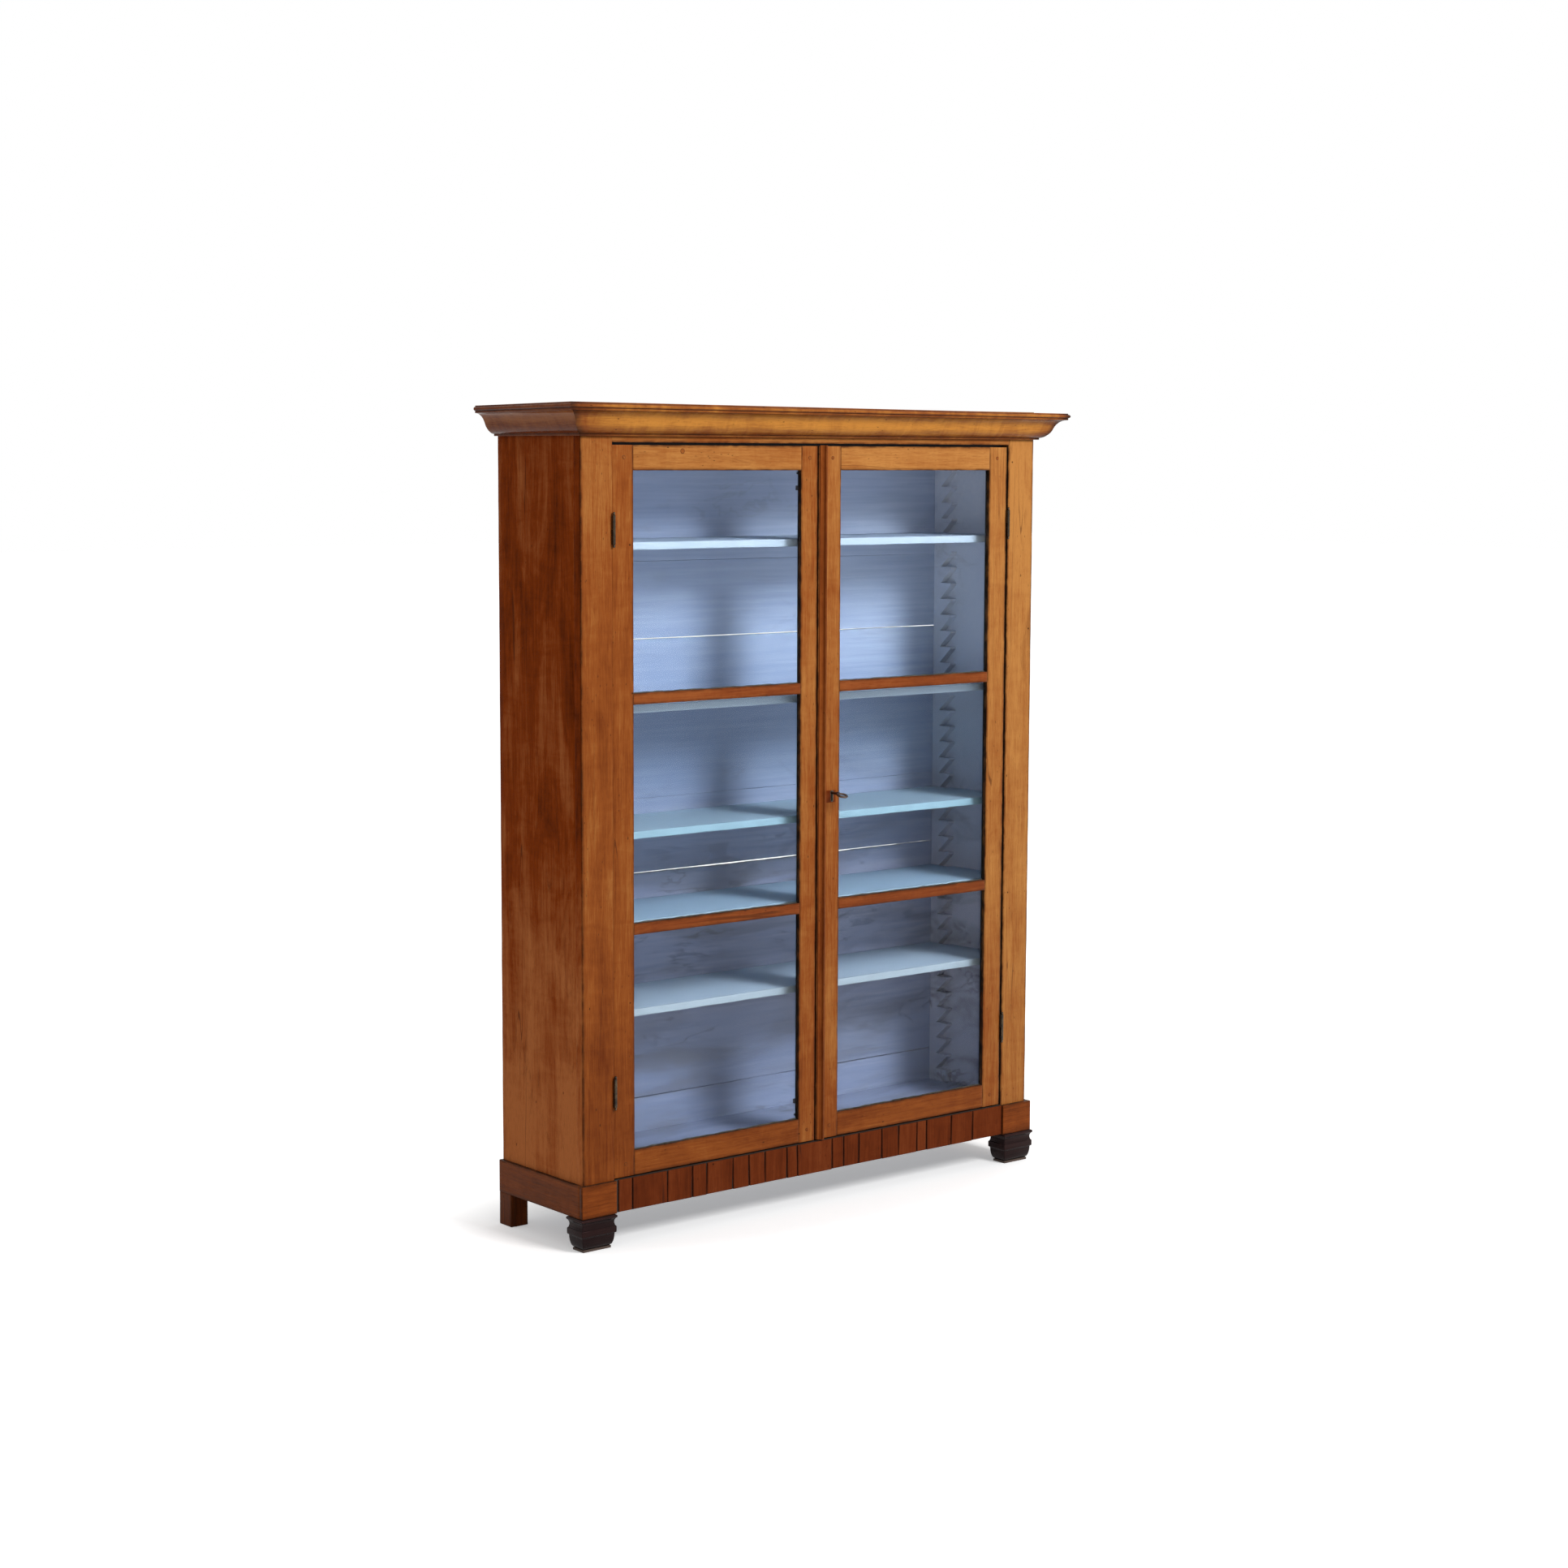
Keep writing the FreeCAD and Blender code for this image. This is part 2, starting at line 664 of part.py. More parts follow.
def make_plinth():
    """Front blocks, and side boards that run down at the back as legs with a post behind each."""
    outer = -half - s.plinth_projection
    left_block = block((outer, -opening), (front - s.plinth_projection, front), (plinth_bottom, plinth_top))
    node("left_plinth_block", left_block)
    node("right_plinth_block", mirrored(left_block))
    heel = s.leg_round
    left_board = prism(
        "YZ_Plane",
        outer,
        s.plinth_projection,
        [
            (front, plinth_bottom),
            (back - s.leg_depth, plinth_bottom),
            (back - s.leg_depth, floor),
            (back - heel, floor),
            (back, heel, heel, back - heel, heel),
            (back, plinth_top),
            (front, plinth_top),
        ],
    )
    node("left_plinth_side", left_board)
    node("right_plinth_side", mirrored(left_board))
    left_post = block((-half, -half + s.post_width), (back - s.leg_depth, back), (floor, plinth_bottom))
    node("left_back_post", left_post)
    node("right_back_post", mirrored(left_post))


def foot_edge(place):
    """One moulded edge of a foot from top to bottom: bead, hollow, band, block and rounded lower edge."""
    bead = s.foot_bead_radius
    band = s.foot_band_radius
    out = s.foot_bead_set
    bead_level = plinth_bottom - bead
    cove_top = bead_level - bead
    cove_bottom = cove_top - s.foot_cove_height
    cove_reach = math.sqrt(s.foot_cove_radius.value ** 2 - (s.foot_cove_height.value / 2) ** 2)
    cove_middle = (out + cove_reach, (cove_top + cove_bottom) / 2)
    band_level = cove_bottom - band
    lower = s.sole_height + s.foot_round
    return [
        place(out, plinth_bottom),
        (*place(out + bead, bead_level), bead, *place(out, bead_level)),
        (*place(out, cove_top), bead, *place(out, bead_level)),
        (*place(out, cove_bottom), s.foot_cove_radius, *place(*cove_middle)),
        (*place(out + band, band_level), band, *place(out, band_level)),
        (*place(out, band_level - band), band, *place(out, band_level)),
        place(0, band_level - band),
        place(0, lower),
        (*place(-s.foot_round, s.sole_height), s.foot_round, *place(-s.foot_round, lower)),
    ]


def foot_outline(low, high):
    """Section of a foot between its two block faces, with the same moulding on both edges.

    The second edge is walked upwards, so each arc is written at the corner where it then ends.
    """
    down = foot_edge(lambda out, up: (high + out, as_size(up)))
    other = foot_edge(lambda out, up: (low - out, as_size(up)))
    upward = [other[-1][:2]]
    for index in range(len(other) - 1, 0, -1):
        upward.append((*other[index - 1][:2], *other[index][2:]))
    return down + upward


def make_feet():
    """Front feet moulded on all four sides, and the thin soles that they stand on."""
    wide = (-half - s.plinth_projection, -opening - s.foot_inset)
    deep = (front - s.plinth_projection, front - s.plinth_projection + s.foot_depth)
    margin = s.foot_bead_set + s.foot_bead_radius + s.foot_band_radius
    along_depth = prism(
        "XZ_Plane",
        -deep[1] - margin,
        s.foot_depth + 2 * margin,
        foot_outline(*wide),
    )
    along_width = prism(
        "YZ_Plane",
        wide[0] - margin,
        wide[1] - wide[0] + 2 * margin,
        foot_outline(*deep),
    )
    left = shared(along_depth, along_width)
    node("left_front_foot", left)
    node("right_front_foot", mirrored(left))
    left_sole = block(widened(wide, -s.sole_inset), widened(deep, -s.sole_inset), (floor, s.sole_height))
    node("front_foot_soles", group([left_sole, mirrored(left_sole)]))


# Shelves

rack_bottom = bottom_board_top
rack_pitch = (top_board_bottom - bottom_board_top - s.rack_foot - s.rack_head) / s.rack_notches


def notch_level(number):
    """Floor of a rack notch, counted from 0 at the lowest."""
    return rack_bottom + s.rack_foot + rack_pitch * number


def make_rack(edge, inward):
    """A rack on the left side board, with notches that face the other rack."""
    face = edge + inward * s.rack_width
    root = face - inward * s.rack_tooth_depth
    low, high = span(edge, face)
    body = doc.addObject("PartDesign::Body", "rack")
    strip = add_sketch(
        body,
        "YZ_Plane",
        -inner,
        [(low, rack_bottom), (high, rack_bottom), (high, top_board_bottom), (low, top_board_bottom)],
    )
    doc.recompute()
    pad = body.newObject("PartDesign::Pad", "strip")
    pad.Profile = strip
    bind(pad, "Length", s.rack_thickness)
    doc.recompute()
    first = notch_level(as_size(0))
    corners = [(root, first), (face, first), (face, first + rack_pitch - s.rack_tooth_land)]
    notch = add_sketch(body, "YZ_Plane", -inner + s.rack_thickness, corners)
    doc.recompute()
    pocket = body.newObject("PartDesign::Pocket", "notch")
    pocket.Profile = notch
    bind(pocket, "Length", s.rack_thickness)
    doc.recompute()
    row = body.newObject("PartDesign::LinearPattern", "notches")
    row.Originals = [pocket]
    row.Direction = (notch, ["V_Axis"])
    row.Occurrences = int(s.rack_notches.value)
    bind(row, "Length", rack_pitch * (s.rack_notches - 1))
    body.Tip = row
    doc.recompute()
    notch_area = s.rack_tooth_depth.value * (rack_pitch - s.rack_tooth_land).value / 2
    removed = pad.Shape.Volume - body.Shape.Volume
    expected = notch_area * s.rack_thickness.value * s.rack_notches.value
    if abs(removed - expected) > 0.001 * expected:
        raise ValueError(f"rack notches took {removed:.0f} in place of {expected:.0f} cubic mm")
    return body


def make_bearer(number, front_root, back_root):
    """A bearer across two racks, its ends cut to the slope of the notches."""
    level = notch_level(number)
    slope = s.rack_tooth_depth / (rack_pitch - s.rack_tooth_land)
    foot = widened((front_root, back_root), -s.bearer_clearance)
    head = widened(foot, -slope * s.bearer_height)
    across = (-inner, -inner + s.rack_thickness)
    return taper("z", (level, level + s.bearer_height), (across, foot), (across, head))


def make_shelves():
    """Racks in the four inner corners, bearers in their notches and loose shelves with notched corners."""
    front_rack = make_rack(board_front, 1)
    back_rack = make_rack(back_face, -1)
    node("shelf_racks", group([front_rack, back_rack, mirrored(front_rack), mirrored(back_rack)]))
    notches = (
        s.shelf_1_notch_count,
        s.shelf_2_notch_count,
        s.shelf_3_notch_count,
        s.shelf_4_notch_count,
        s.shelf_5_notch_count,
    )
    tooth_root = s.rack_width - s.rack_tooth_depth
    bearers = []
    for number in notches:
        bearer = make_bearer(number, board_front + tooth_root, back_face - tooth_root)
        bearers += [bearer, mirrored(bearer)]
    node("shelf_bearers", group(bearers))
    between_racks = widened((-inner, inner), -s.rack_thickness - s.shelf_clearance)
    between_sides = widened((-inner, inner), -s.shelf_clearance)
    tongue = widened((board_front + s.rack_width, back_face - s.rack_width), -s.shelf_clearance)
    depth = (front + s.shelf_setback, back_face - s.shelf_clearance)
    for index, number in enumerate(notches, start=1):
        level = notch_level(number) + s.bearer_height
        thick = (level, level + s.shelf_thickness)
        shelf = joined(block(between_racks, depth, thick), block(between_sides, tongue, thick))
        node(f"shelf_{index}", shelf)


# Hinges

def hinge_axis_x(side):
    """Middle of the hinge gap on one side."""
    return side * (opening - hinge_gap[side] / 2)


def make_knuckle(side, level, way):
    """Half of a hinge barrel, blind-bored for the pin, with a turned finial at its end."""
    radius = s.barrel_radius
    bore = s.hinge_pin_radius + s.hinge_clearance
    near = way * s.knuckle_gap / 2
    far = near + way * s.knuckle_length
    ball = (s.finial_length - s.finial_neck / 2) / 2
    ball_level = far + way * (s.finial_length - ball)
    body = doc.addObject("PartDesign::Body", "knuckle")
    sketch = add_sketch(
        body,
        "XZ_Plane",
        0,
        [
            (bore, near),
            (radius, near),
            (radius, far),
            (s.finial_neck, far + way * s.finial_neck / 2),
            (ball, ball_level),
            (floor, ball_level + way * ball, ball, floor, ball_level),
            (floor, far - way * s.pin_end_wall),
            (bore, far - way * s.pin_end_wall),
        ],
    )
    doc.recompute()
    turned = body.newObject("PartDesign::Revolution", "turned")
    turned.Profile = sketch
    turned.ReferenceAxis = (sketch, ["V_Axis"])
    turned.Angle = 360
    bind(body, "Placement.Base.x", hinge_axis_x(side))
    bind(body, "Placement.Base.y", hinge_axis_y)
    bind(body, "Placement.Base.z", level)
    return body


def make_leaves(side, edge, into, way):
    """The two leaves on one side of a door's hinge gap, each let into the wood and joined to its knuckle."""
    bore = s.hinge_pin_radius + s.hinge_clearance
    leaves = []
    for level in hinge_levels:
        height = leaf_height(level, way)
        plate = block(
            span(edge, edge + into * s.leaf_thickness),
            (hinge_axis_y, front + s.leaf_depth),
            height,
        )
        far = level + way * (s.knuckle_gap / 2 + s.knuckle_length - s.pin_end_wall)
        hole = rod("z", (hinge_axis_x(side), hinge_axis_y), span(level, far), bore)
        leaves.append(cut(joined(make_knuckle(side, level, way), plate), hole))
    return group(leaves)


def make_hinges():
    """Lift-off pin hinges: lower halves and pins on the carcass, upper halves on the doors."""
    pins = []
    for side in (LEFT, RIGHT):
        name = SIDE_NAME[side]
        frame_edge = side * opening
        door_edge = side * (opening - hinge_gap[side])
        node(f"{name}_hinge_frame_leaves", make_leaves(side, frame_edge, side, frame_leaf_below))
        node(f"{name}_hinge_door_leaves", make_leaves(side, door_edge, -side, door_leaf_above))
        for level in hinge_levels:
            seat = level - s.knuckle_gap / 2 - s.knuckle_length + s.pin_end_wall
            tip = level + s.knuckle_gap / 2 + s.knuckle_length - 2 * s.pin_end_wall
            pins.append(rod("z", (hinge_axis_x(side), hinge_axis_y), (seat, tip), s.hinge_pin_radius))
    node("hinge_pins", group(pins))


# Doors

tenon_depth = (glass_front + s.tenon_set, glass_front + s.tenon_set + s.tenon_thickness)
rail_tenon_spans = (
    (door_bottom + s.tenon_shoulder, sight_bottom - s.glass_rebate),
    (sight_top + s.glass_rebate, door_top - s.tenon_shoulder),
)
peg_levels = (door_bottom + s.bottom_rail / 2, door_top - s.top_rail / 2)


def peg_rods(middle, radius):
    """Pegs, or their holes, through the joints at the two ends of a stile."""
    return [rod("y", (middle, level), (front, door_back), radius) for level in peg_levels]


def make_stile(edge, sight, extra_tools):
    """An upright of a door: rebated for the glass, mortised for rails and bars and bored for pegs."""
    outward = -1 if edge.value < sight.value else 1
    wall = sight + outward * s.glass_rebate
    tools = [block(span(sight, wall), (glass_front, door_back), (door_bottom, door_top))]
    for height in rail_tenon_spans:
        tools.append(block(span(wall, wall + outward * s.tenon_length), tenon_depth, height))
    for height in bar_spans:
        web = widened(height, -s.glass_rebate)
        tools.append(block(span(wall, wall + outward * s.bar_tenon_length), tenon_depth, web))
    tools += peg_rods(sight + outward * s.peg_inset, s.peg_radius + s.peg_clearance)
    stock = block(span(edge, sight), (front, door_back), (door_bottom, door_top))
    return cut(stock, *tools, *extra_tools)


def make_rail(sight, lip, body, tenon, pegs):
    """A cross rail: lip before the glass, longer shoulder behind it and tenons bored for the pegs."""
    shoulder = widened(sight, s.glass_rebate)
    stock = joined(
        block(sight, (front, glass_front), lip),
        block(shoulder, (glass_front, door_back), body),
        block(widened(shoulder, s.tenon_length), tenon_depth, tenon),
    )
    return cut(stock, *pegs)


def make_bar(sight, height):
    """A glazing bar of T section, stub-tenoned into the stiles."""
    web = widened(height, -s.glass_rebate)
    shoulder = widened(sight, s.glass_rebate)
    return joined(
        block(sight, (front, glass_front), height),
        block(shoulder, (glass_front, door_back), web),
        block(widened(shoulder, s.bar_tenon_length), tenon_depth, web),
    )


def make_putty(sight, height):
    """A ring of putty behind a pane, sloping from the sight edge at the glass to the rebate's wall."""
    glass_back = glass_front + s.glass_thickness
    depth = (glass_back, door_back - s.putty_edge)
    outer = (widened(sight, s.glass_rebate), widened(height, s.glass_rebate))
    inside = s.glass_rebate - s.putty_edge
    slope = taper("y", depth, (sight, height), (widened(sight, inside), widened(height, inside)))
    return cut(block(outer[0], depth, outer[1]), slope)


def make_door(side, hinge_stile, meeting_stile, meeting_tools):
    """One glazed door: two stiles, two rails, two bars, three panes in putty, and pegs."""
    name = SIDE_NAME[side]
    hinge_edge = side * (opening - hinge_gap[side])
    hinge_sight = hinge_edge - side * hinge_stile
    meeting_sight = meeting_edge[side] + side * meeting_stile
    sight = span(hinge_sight, meeting_sight)
    recesses = []
    for level in hinge_levels:
        recess = span(hinge_edge, hinge_edge - side * s.leaf_thickness)
        recesses.append(block(recess, (front, front + s.leaf_depth), leaf_height(level, door_leaf_above)))
    peg_middles = (hinge_sight + side * s.peg_inset, meeting_sight - side * s.peg_inset)
    holes = [peg_rods(middle, s.peg_radius + s.peg_clearance) for middle in peg_middles]
    bottom_holes, top_holes = zip(*holes)
    node(f"{name}_hinge_stile", make_stile(hinge_edge, hinge_sight, recesses))
    node(f"{name}_meeting_stile", make_stile(meeting_edge[side], meeting_sight, meeting_tools))
    bottom = make_rail(
        sight,
        (door_bottom, sight_bottom),
        (door_bottom, sight_bottom - s.glass_rebate),
        rail_tenon_spans[0],
        bottom_holes,
    )
    top = make_rail(
        sight,
        (sight_top, door_top),
        (sight_top + s.glass_rebate, door_top),
        rail_tenon_spans[1],
        top_holes,
    )
    node(f"{name}_bottom_rail", bottom)
    node(f"{name}_top_rail", top)
    node(f"{name}_glazing_bars", group([make_bar(sight, height) for height in bar_spans]))
    reach = s.glass_rebate - s.glass_clearance
    glass_depth = (glass_front, glass_front + s.glass_thickness)
    panes = [block(widened(sight, reach), glass_depth, widened(height, reach)) for height in pane_spans]
    node(f"{name}_panes", group(panes))
    node(f"{name}_putty", group([make_putty(sight, height) for height in pane_spans]))
    pegs = [peg for middle in peg_middles for peg in peg_rods(middle, s.peg_radius)]
    node(f"{name}_pegs", group(pegs))


def make_cover_strip():
    """Strip on the right door's meeting edge: a hollow that faces left, and a rounded crest."""
    low = meeting_edge[RIGHT] + s.strip_set
    high = low + s.strip_width
    crest = front - s.strip_height
    strip = prism(
        "XY_Plane",
        door_bottom,
        s.door_height,
        [
            (low, front),
            (low, crest + s.strip_hollow),
            (low + s.strip_hollow, crest, s.strip_hollow, low, crest),
            (high - s.strip_round, crest),
            (high, crest + s.strip_round, s.strip_round, high - s.strip_round, crest + s.strip_round),
            (high, front),
        ],
    )
    node("cover_strip", strip)


# Lock and key

def keyhole(shrink, depth):
    """Shape of the keyhole: a round eye over a slot with a rounded foot, made smaller all round."""
    eye = s.liner_radius - shrink
    slot = s.liner_slot_radius - shrink
    foot = key_z - s.liner_drop
    return joined(
        rod("y", (key_x, key_z), depth, eye),
        block((key_x - slot, key_x + slot), depth, (foot, key_z)),
        rod("y", (key_x, foot), depth, slot),
    )


def keyhole_tools():
    """What is taken from the stile: a seat for the liner and the way through for the key."""
    return [
        keyhole(0, (front, front + s.liner_depth)),
        keyhole(s.liner_wall, (front + s.liner_depth, door_back)),
    ]


def make_lock():
    """Rim lock behind the right door: case open to the wood, sliding bolt, keyhole liner and key."""
    liner = (front, front + s.liner_depth)
    node("keyhole_liner", cut(keyhole(0, liner), keyhole(s.liner_wall, liner)))
    case_x = (meeting_edge[RIGHT] + s.lock_set, meeting_edge[RIGHT] + s.lock_set + s.lock_width)
    case_z = (key_z - s.lock_below, key_z + s.lock_above)
    case_back = door_back + s.lock_depth
    plate = case_back - s.lock_wall
    bolt_y = (door_back + s.bolt_set, door_back + s.bolt_set + s.bolt_thickness)
    bolt_z = (key_z + s.bolt_rise, key_z + s.bolt_rise + s.bolt_height)
    case = cut(
        block(case_x, (door_back, case_back), case_z),
        block(widened(case_x, -s.lock_wall), (door_back, plate), widened(case_z, -s.lock_wall)),
        block(
            (case_x[0], case_x[0] + s.lock_wall),
            widened(bolt_y, s.bolt_clearance),
            widened(bolt_z, s.bolt_clearance),
        ),
        rod("y", (key_x, key_z), (plate, case_back), s.key_shank_radius + s.key_clearance),
    )
    node("lock_case", case)
    node("lock_bolt", block((case_x[0], case_x[0] + s.bolt_length), bolt_y, bolt_z))
    ring_y = front - s.key_reach + s.key_bow_radius + s.key_wire_radius
    ring = doc.addObject("Part::Torus", "ring")
    tilt = FreeCAD.Rotation(FreeCAD.Vector(1, 0, 0), s.key_droop.value)
    ring.Placement = FreeCAD.Placement(FreeCAD.Vector(), tilt)
    for axis, middle in zip("xyz", (key_x, ring_y, key_z - s.key_sag)):
        bind(ring, "Placement.Base." + axis, middle)
    bind(ring, "Radius1", s.key_bow_radius)
    bind(ring, "Radius2", s.key_wire_radius)
    neck = ring_y + s.key_bow_radius
    collar_y = (neck + s.key_wire_radius, neck + s.key_wire_radius + s.key_collar_length)
    bit_y = (plate - s.lock_wall - s.key_bit_width, plate - s.lock_wall)
    bit_half = s.key_bit_thickness / 2
    key = joined(
        ring,
        rod("y", (key_x, key_z), (neck, case_back), s.key_shank_radius),
        rod("y", (key_x, key_z), collar_y, s.key_collar_radius),
        block((key_x, key_x + s.key_bit_radius), bit_y, (key_z - bit_half, key_z + bit_half)),
    )
    node("key", key)


# Slide bolts of the left door

def make_slide_bolt(board, inward):
    """Plate with two staples, and the bolt in them, drawn back from the board that it shoots into."""
    plate_near = board + inward * s.slide_plate_gap
    plate_far = plate_near + inward * s.slide_plate_length
    bore = s.slide_radius + s.slide_clearance
    half_staple = s.slide_radius + s.staple_wall
    staple_back = slide_y + half_staple
    plate_x = (slide_x - s.slide_plate_width / 2, slide_x + s.slide_plate_width / 2)
    pieces = [block(plate_x, (door_back, door_back + s.slide_plate_thickness), span(plate_near, plate_far))]
    near_staple = plate_near + inward * s.staple_end
    far_staple = plate_far - inward * s.staple_end
    for start, way in ((near_staple, inward), (far_staple, -inward)):
        pieces.append(
            block(
                (slide_x - half_staple, slide_x + half_staple),
                (door_back, staple_back),
                span(start, start + way * s.staple_height),
            )
        )
    tip = board + inward * s.slide_gap
    tail = tip + inward * s.slide_length
    bore_hole = rod("z", (slide_x, slide_y), span(board, plate_far + inward * s.staple_end), bore)
    plate = cut(joined(*pieces), bore_hole)
    middle = (plate_near + plate_far) / 2
    bolt = joined(
        rod("z", (slide_x, slide_y), span(tip, tail), s.slide_radius),
        rod("y", (slide_x, middle), (slide_y, slide_y + s.knob_length), s.knob_radius),
    )
    return plate, bolt


def make_slide_bolts():
    """Bolts at the top and the foot of the left door's inner stile."""
    top_plate, top_bolt = make_slide_bolt(top_board_bottom, -1)
    bottom_plate, bottom_bolt = make_slide_bolt(bottom_board_top, 1)
    node("slide_bolt_plates", group([top_plate, bottom_plate]))
    node("top_slide_bolt", top_bolt)
    node("bottom_slide_bolt", bottom_bolt)


def write_parts():
    """Test every object of the document, then write each sub-part to its own file."""
    doc.recompute()
    for thing in doc.Objects:
        if "Invalid" in thing.State or "Error" in thing.State:
            raise ValueError(f"{thing.Label} failed: {thing.State}")
    for thing in nodes:
        if thing.Shape.isNull() or not thing.Shape.isValid():
            raise ValueError(f"{thing.Label} has no valid shape")
    os.makedirs("parts", exist_ok=True)
    for thing in nodes:
        thing.Shape.exportStep(f"parts/{thing.Label}.step")
        print(f"{thing.Label}: {len(thing.Shape.Solids)} solids, {thing.Shape.Volume / 1000:.1f} cubic cm")


make_sides()
make_pilasters()
make_rails()
make_inner_boards()
make_back()
make_cornice()
make_plinth()
make_feet()
make_shelves()
make_hinges()
make_door(LEFT, s.left_hinge_stile, s.left_meeting_stile, [])
make_door(RIGHT, s.right_hinge_stile, s.right_meeting_stile, keyhole_tools())
make_cover_strip()
make_lock()
make_slide_bolts()
write_parts()
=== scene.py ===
"""Looks of the glazed bookcase: softened wood members, finishes, studio and camera around its solids."""

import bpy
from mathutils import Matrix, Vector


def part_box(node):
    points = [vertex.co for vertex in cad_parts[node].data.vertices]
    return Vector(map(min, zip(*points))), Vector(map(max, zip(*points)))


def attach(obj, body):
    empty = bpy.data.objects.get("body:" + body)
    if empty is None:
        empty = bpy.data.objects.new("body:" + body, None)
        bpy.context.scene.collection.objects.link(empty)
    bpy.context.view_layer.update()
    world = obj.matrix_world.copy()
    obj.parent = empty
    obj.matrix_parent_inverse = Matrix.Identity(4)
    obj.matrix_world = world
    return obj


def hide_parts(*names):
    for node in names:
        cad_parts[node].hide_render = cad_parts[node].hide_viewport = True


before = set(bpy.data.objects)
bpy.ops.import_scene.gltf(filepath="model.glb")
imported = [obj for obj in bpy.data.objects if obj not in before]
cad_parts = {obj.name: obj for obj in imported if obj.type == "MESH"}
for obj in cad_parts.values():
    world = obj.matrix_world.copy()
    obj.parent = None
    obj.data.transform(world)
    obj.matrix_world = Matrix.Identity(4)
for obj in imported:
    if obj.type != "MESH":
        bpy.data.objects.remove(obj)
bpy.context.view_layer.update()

import functools
import logging
import math
from dataclasses import dataclass
from enum import Enum, IntEnum
from typing import Iterable, Optional, Sequence

import bpy
import numpy as np
from mathutils import Matrix

log = logging.getLogger("bookcase")
MM = 0.001
IN_PLANE = 0.1 * MM
SHARP_ANGLE = math.radians(50)
LOG_SEED = 1000
LOG_REACH = 9.0
Triple = tuple[float, float, float]
Colour = Triple
Table = Sequence[tuple[float, float]]
MADE: dict[str, bpy.types.Material] = {}


class Axis(Enum):
    """The way a member runs; the other two axes follow in turn, so that the three stay right-handed."""

    X = 0
    Y = 1
    Z = 2

    @property
    def across(self) -> tuple[int, int]:
        """Indices of the two axes of the section."""
        return (self.value + 1) % 3, (self.value + 2) % 3


class Hand(Enum):
    """Side of the bookcase, as the viewer sees it."""

    LEFT = -1
    RIGHT = 1

    @property
    def word(self) -> str:
        """The side's name as the nodes use it."""
        return self.name.lower()


class Seed(IntEnum):
    """Number from which the grain and wear of each kind of member are picked."""

    KEYHOLE = 1
    STAVE_CUT = 7
    SIDE = 11
    PILASTER = 21
    FRIEZE = 31
    BACK_BOARD = 41
    BOARD_WAVE = 60
    STAVE = 71
    BOARD_EDGE = 80
    CORNICE = 91
    FLANK = 93
    PLINTH_BLOCK = 101
    PLINTH_SIDE = 105
    BACK_LEG = 109
    LEG_POST = 113
    FOOT = 121
    SHELF = 130
    TONGUE = 140
    STILE = 150
    BOTTOM_RAIL = 171
    TOP_RAIL = 175
    BAR = 181
    PEG = 190
    PLUG = 196
    COVER_STRIP = 201
    PANE_DUST = 205
    DUST_EDGE = 211


def read_off(places: np.ndarray, table: Table) -> np.ndarray:
    """Values read off a table of place and value, straight between its rows."""
    return np.interp(places, *np.transpose(table))


# Surfaces


@dataclass
class Shell:
    """A closed surface, with what the finishes read at each vertex.

    Attributes:
        verts: places, one row each.
        faces: vertex numbers of the quads and of the two end caps, one row for each face.
        grain: coordinates for wood grain, along the member first.
        wear: 1 on an arris and 0 away from it.
        tone: the member's shade, from 0 to 1, as one value or one for each vertex; in places it holds painted light.
        mark: 1 where a second colour goes.
        lined: numbers of the faces that take the piece's second finish.
    """

    verts: np.ndarray
    faces: tuple[np.ndarray, np.ndarray]
    grain: np.ndarray
    wear: np.ndarray
    tone: float | np.ndarray = 0.5
    mark: Optional[np.ndarray] = None
    lined: Optional[np.ndarray] = None

    def darken_planes(self, axis: Axis, *places: float) -> "Shell":
        """Mark the vertices that lie in planes across an axis, for dirt in joints and for painted shade in gaps and
        on sight edges.

        Args:
            axis: the axis.
            *places: where the planes cross it.

        Returns:
            The shell itself.
        """
        away = np.abs(self.verts[:, axis.value, None] - np.array(places)).min(1)
        marked = (away < IN_PLANE).astype(float)
        self.mark = marked if self.mark is None else np.maximum(self.mark, marked)
        return self

    def line(self, axis: Axis, place: float) -> None:
        """Give the second finish to the faces that lie in a plane across an axis."""
        centres = np.concatenate([self.verts[rows, axis.value].mean(1) for rows in self.faces])
        self.lined = np.flatnonzero(np.abs(centres - place) < IN_PLANE)

    def numbered(self, start: int) -> list[list[int]]:
        """Every face, with the shell's vertices numbered from start."""
        quads, caps = self.faces
        return (quads + start).tolist() + (caps + start).tolist()


def wobble(places: np.ndarray, seed: int, pitch: float = 0.09) -> np.ndarray:
    """Smooth irregular curve between about -1 and 1: a sum of sines with unrelated lengths and phases.

    Args:
        places: where to read it, in metres.
        seed: picks the phases.
        pitch: about the distance from one swell to the next.

    Returns:
        One value for each place.
    """
    rng = np.random.default_rng(seed)
    phases = rng.uniform(0, math.tau, 5)
    rates = math.tau / pitch * np.array([0.31, 0.62, 1.0, 1.73, 3.1])
    weights = np.array([0.35, 0.3, 0.25, 0.15, 0.1])
    return (weights * np.sin(places[..., None] * rates + phases)).sum(-1)


def ring_faces(count: int, around: int) -> tuple[np.ndarray, np.ndarray]:
    """Quads between neighbouring rings, and a cap on the first and the last.

    Args:
        count: number of rings.
        around: vertices in a ring, counter-clockwise about the way the rings run.

    Returns:
        Vertex numbers of the quads and of the caps, facing outwards.
    """
    ring = np.arange(count - 1)[:, None] * around
    here = np.arange(around)[None, :]
    there = (here + 1) % around
    quads = np.stack([ring + here, ring + there, ring + around + there, ring + around + here], -1)
    caps = np.stack([here[0, ::-1], (count - 1) * around + here[0]])
    return quads.reshape(-1, 4), caps


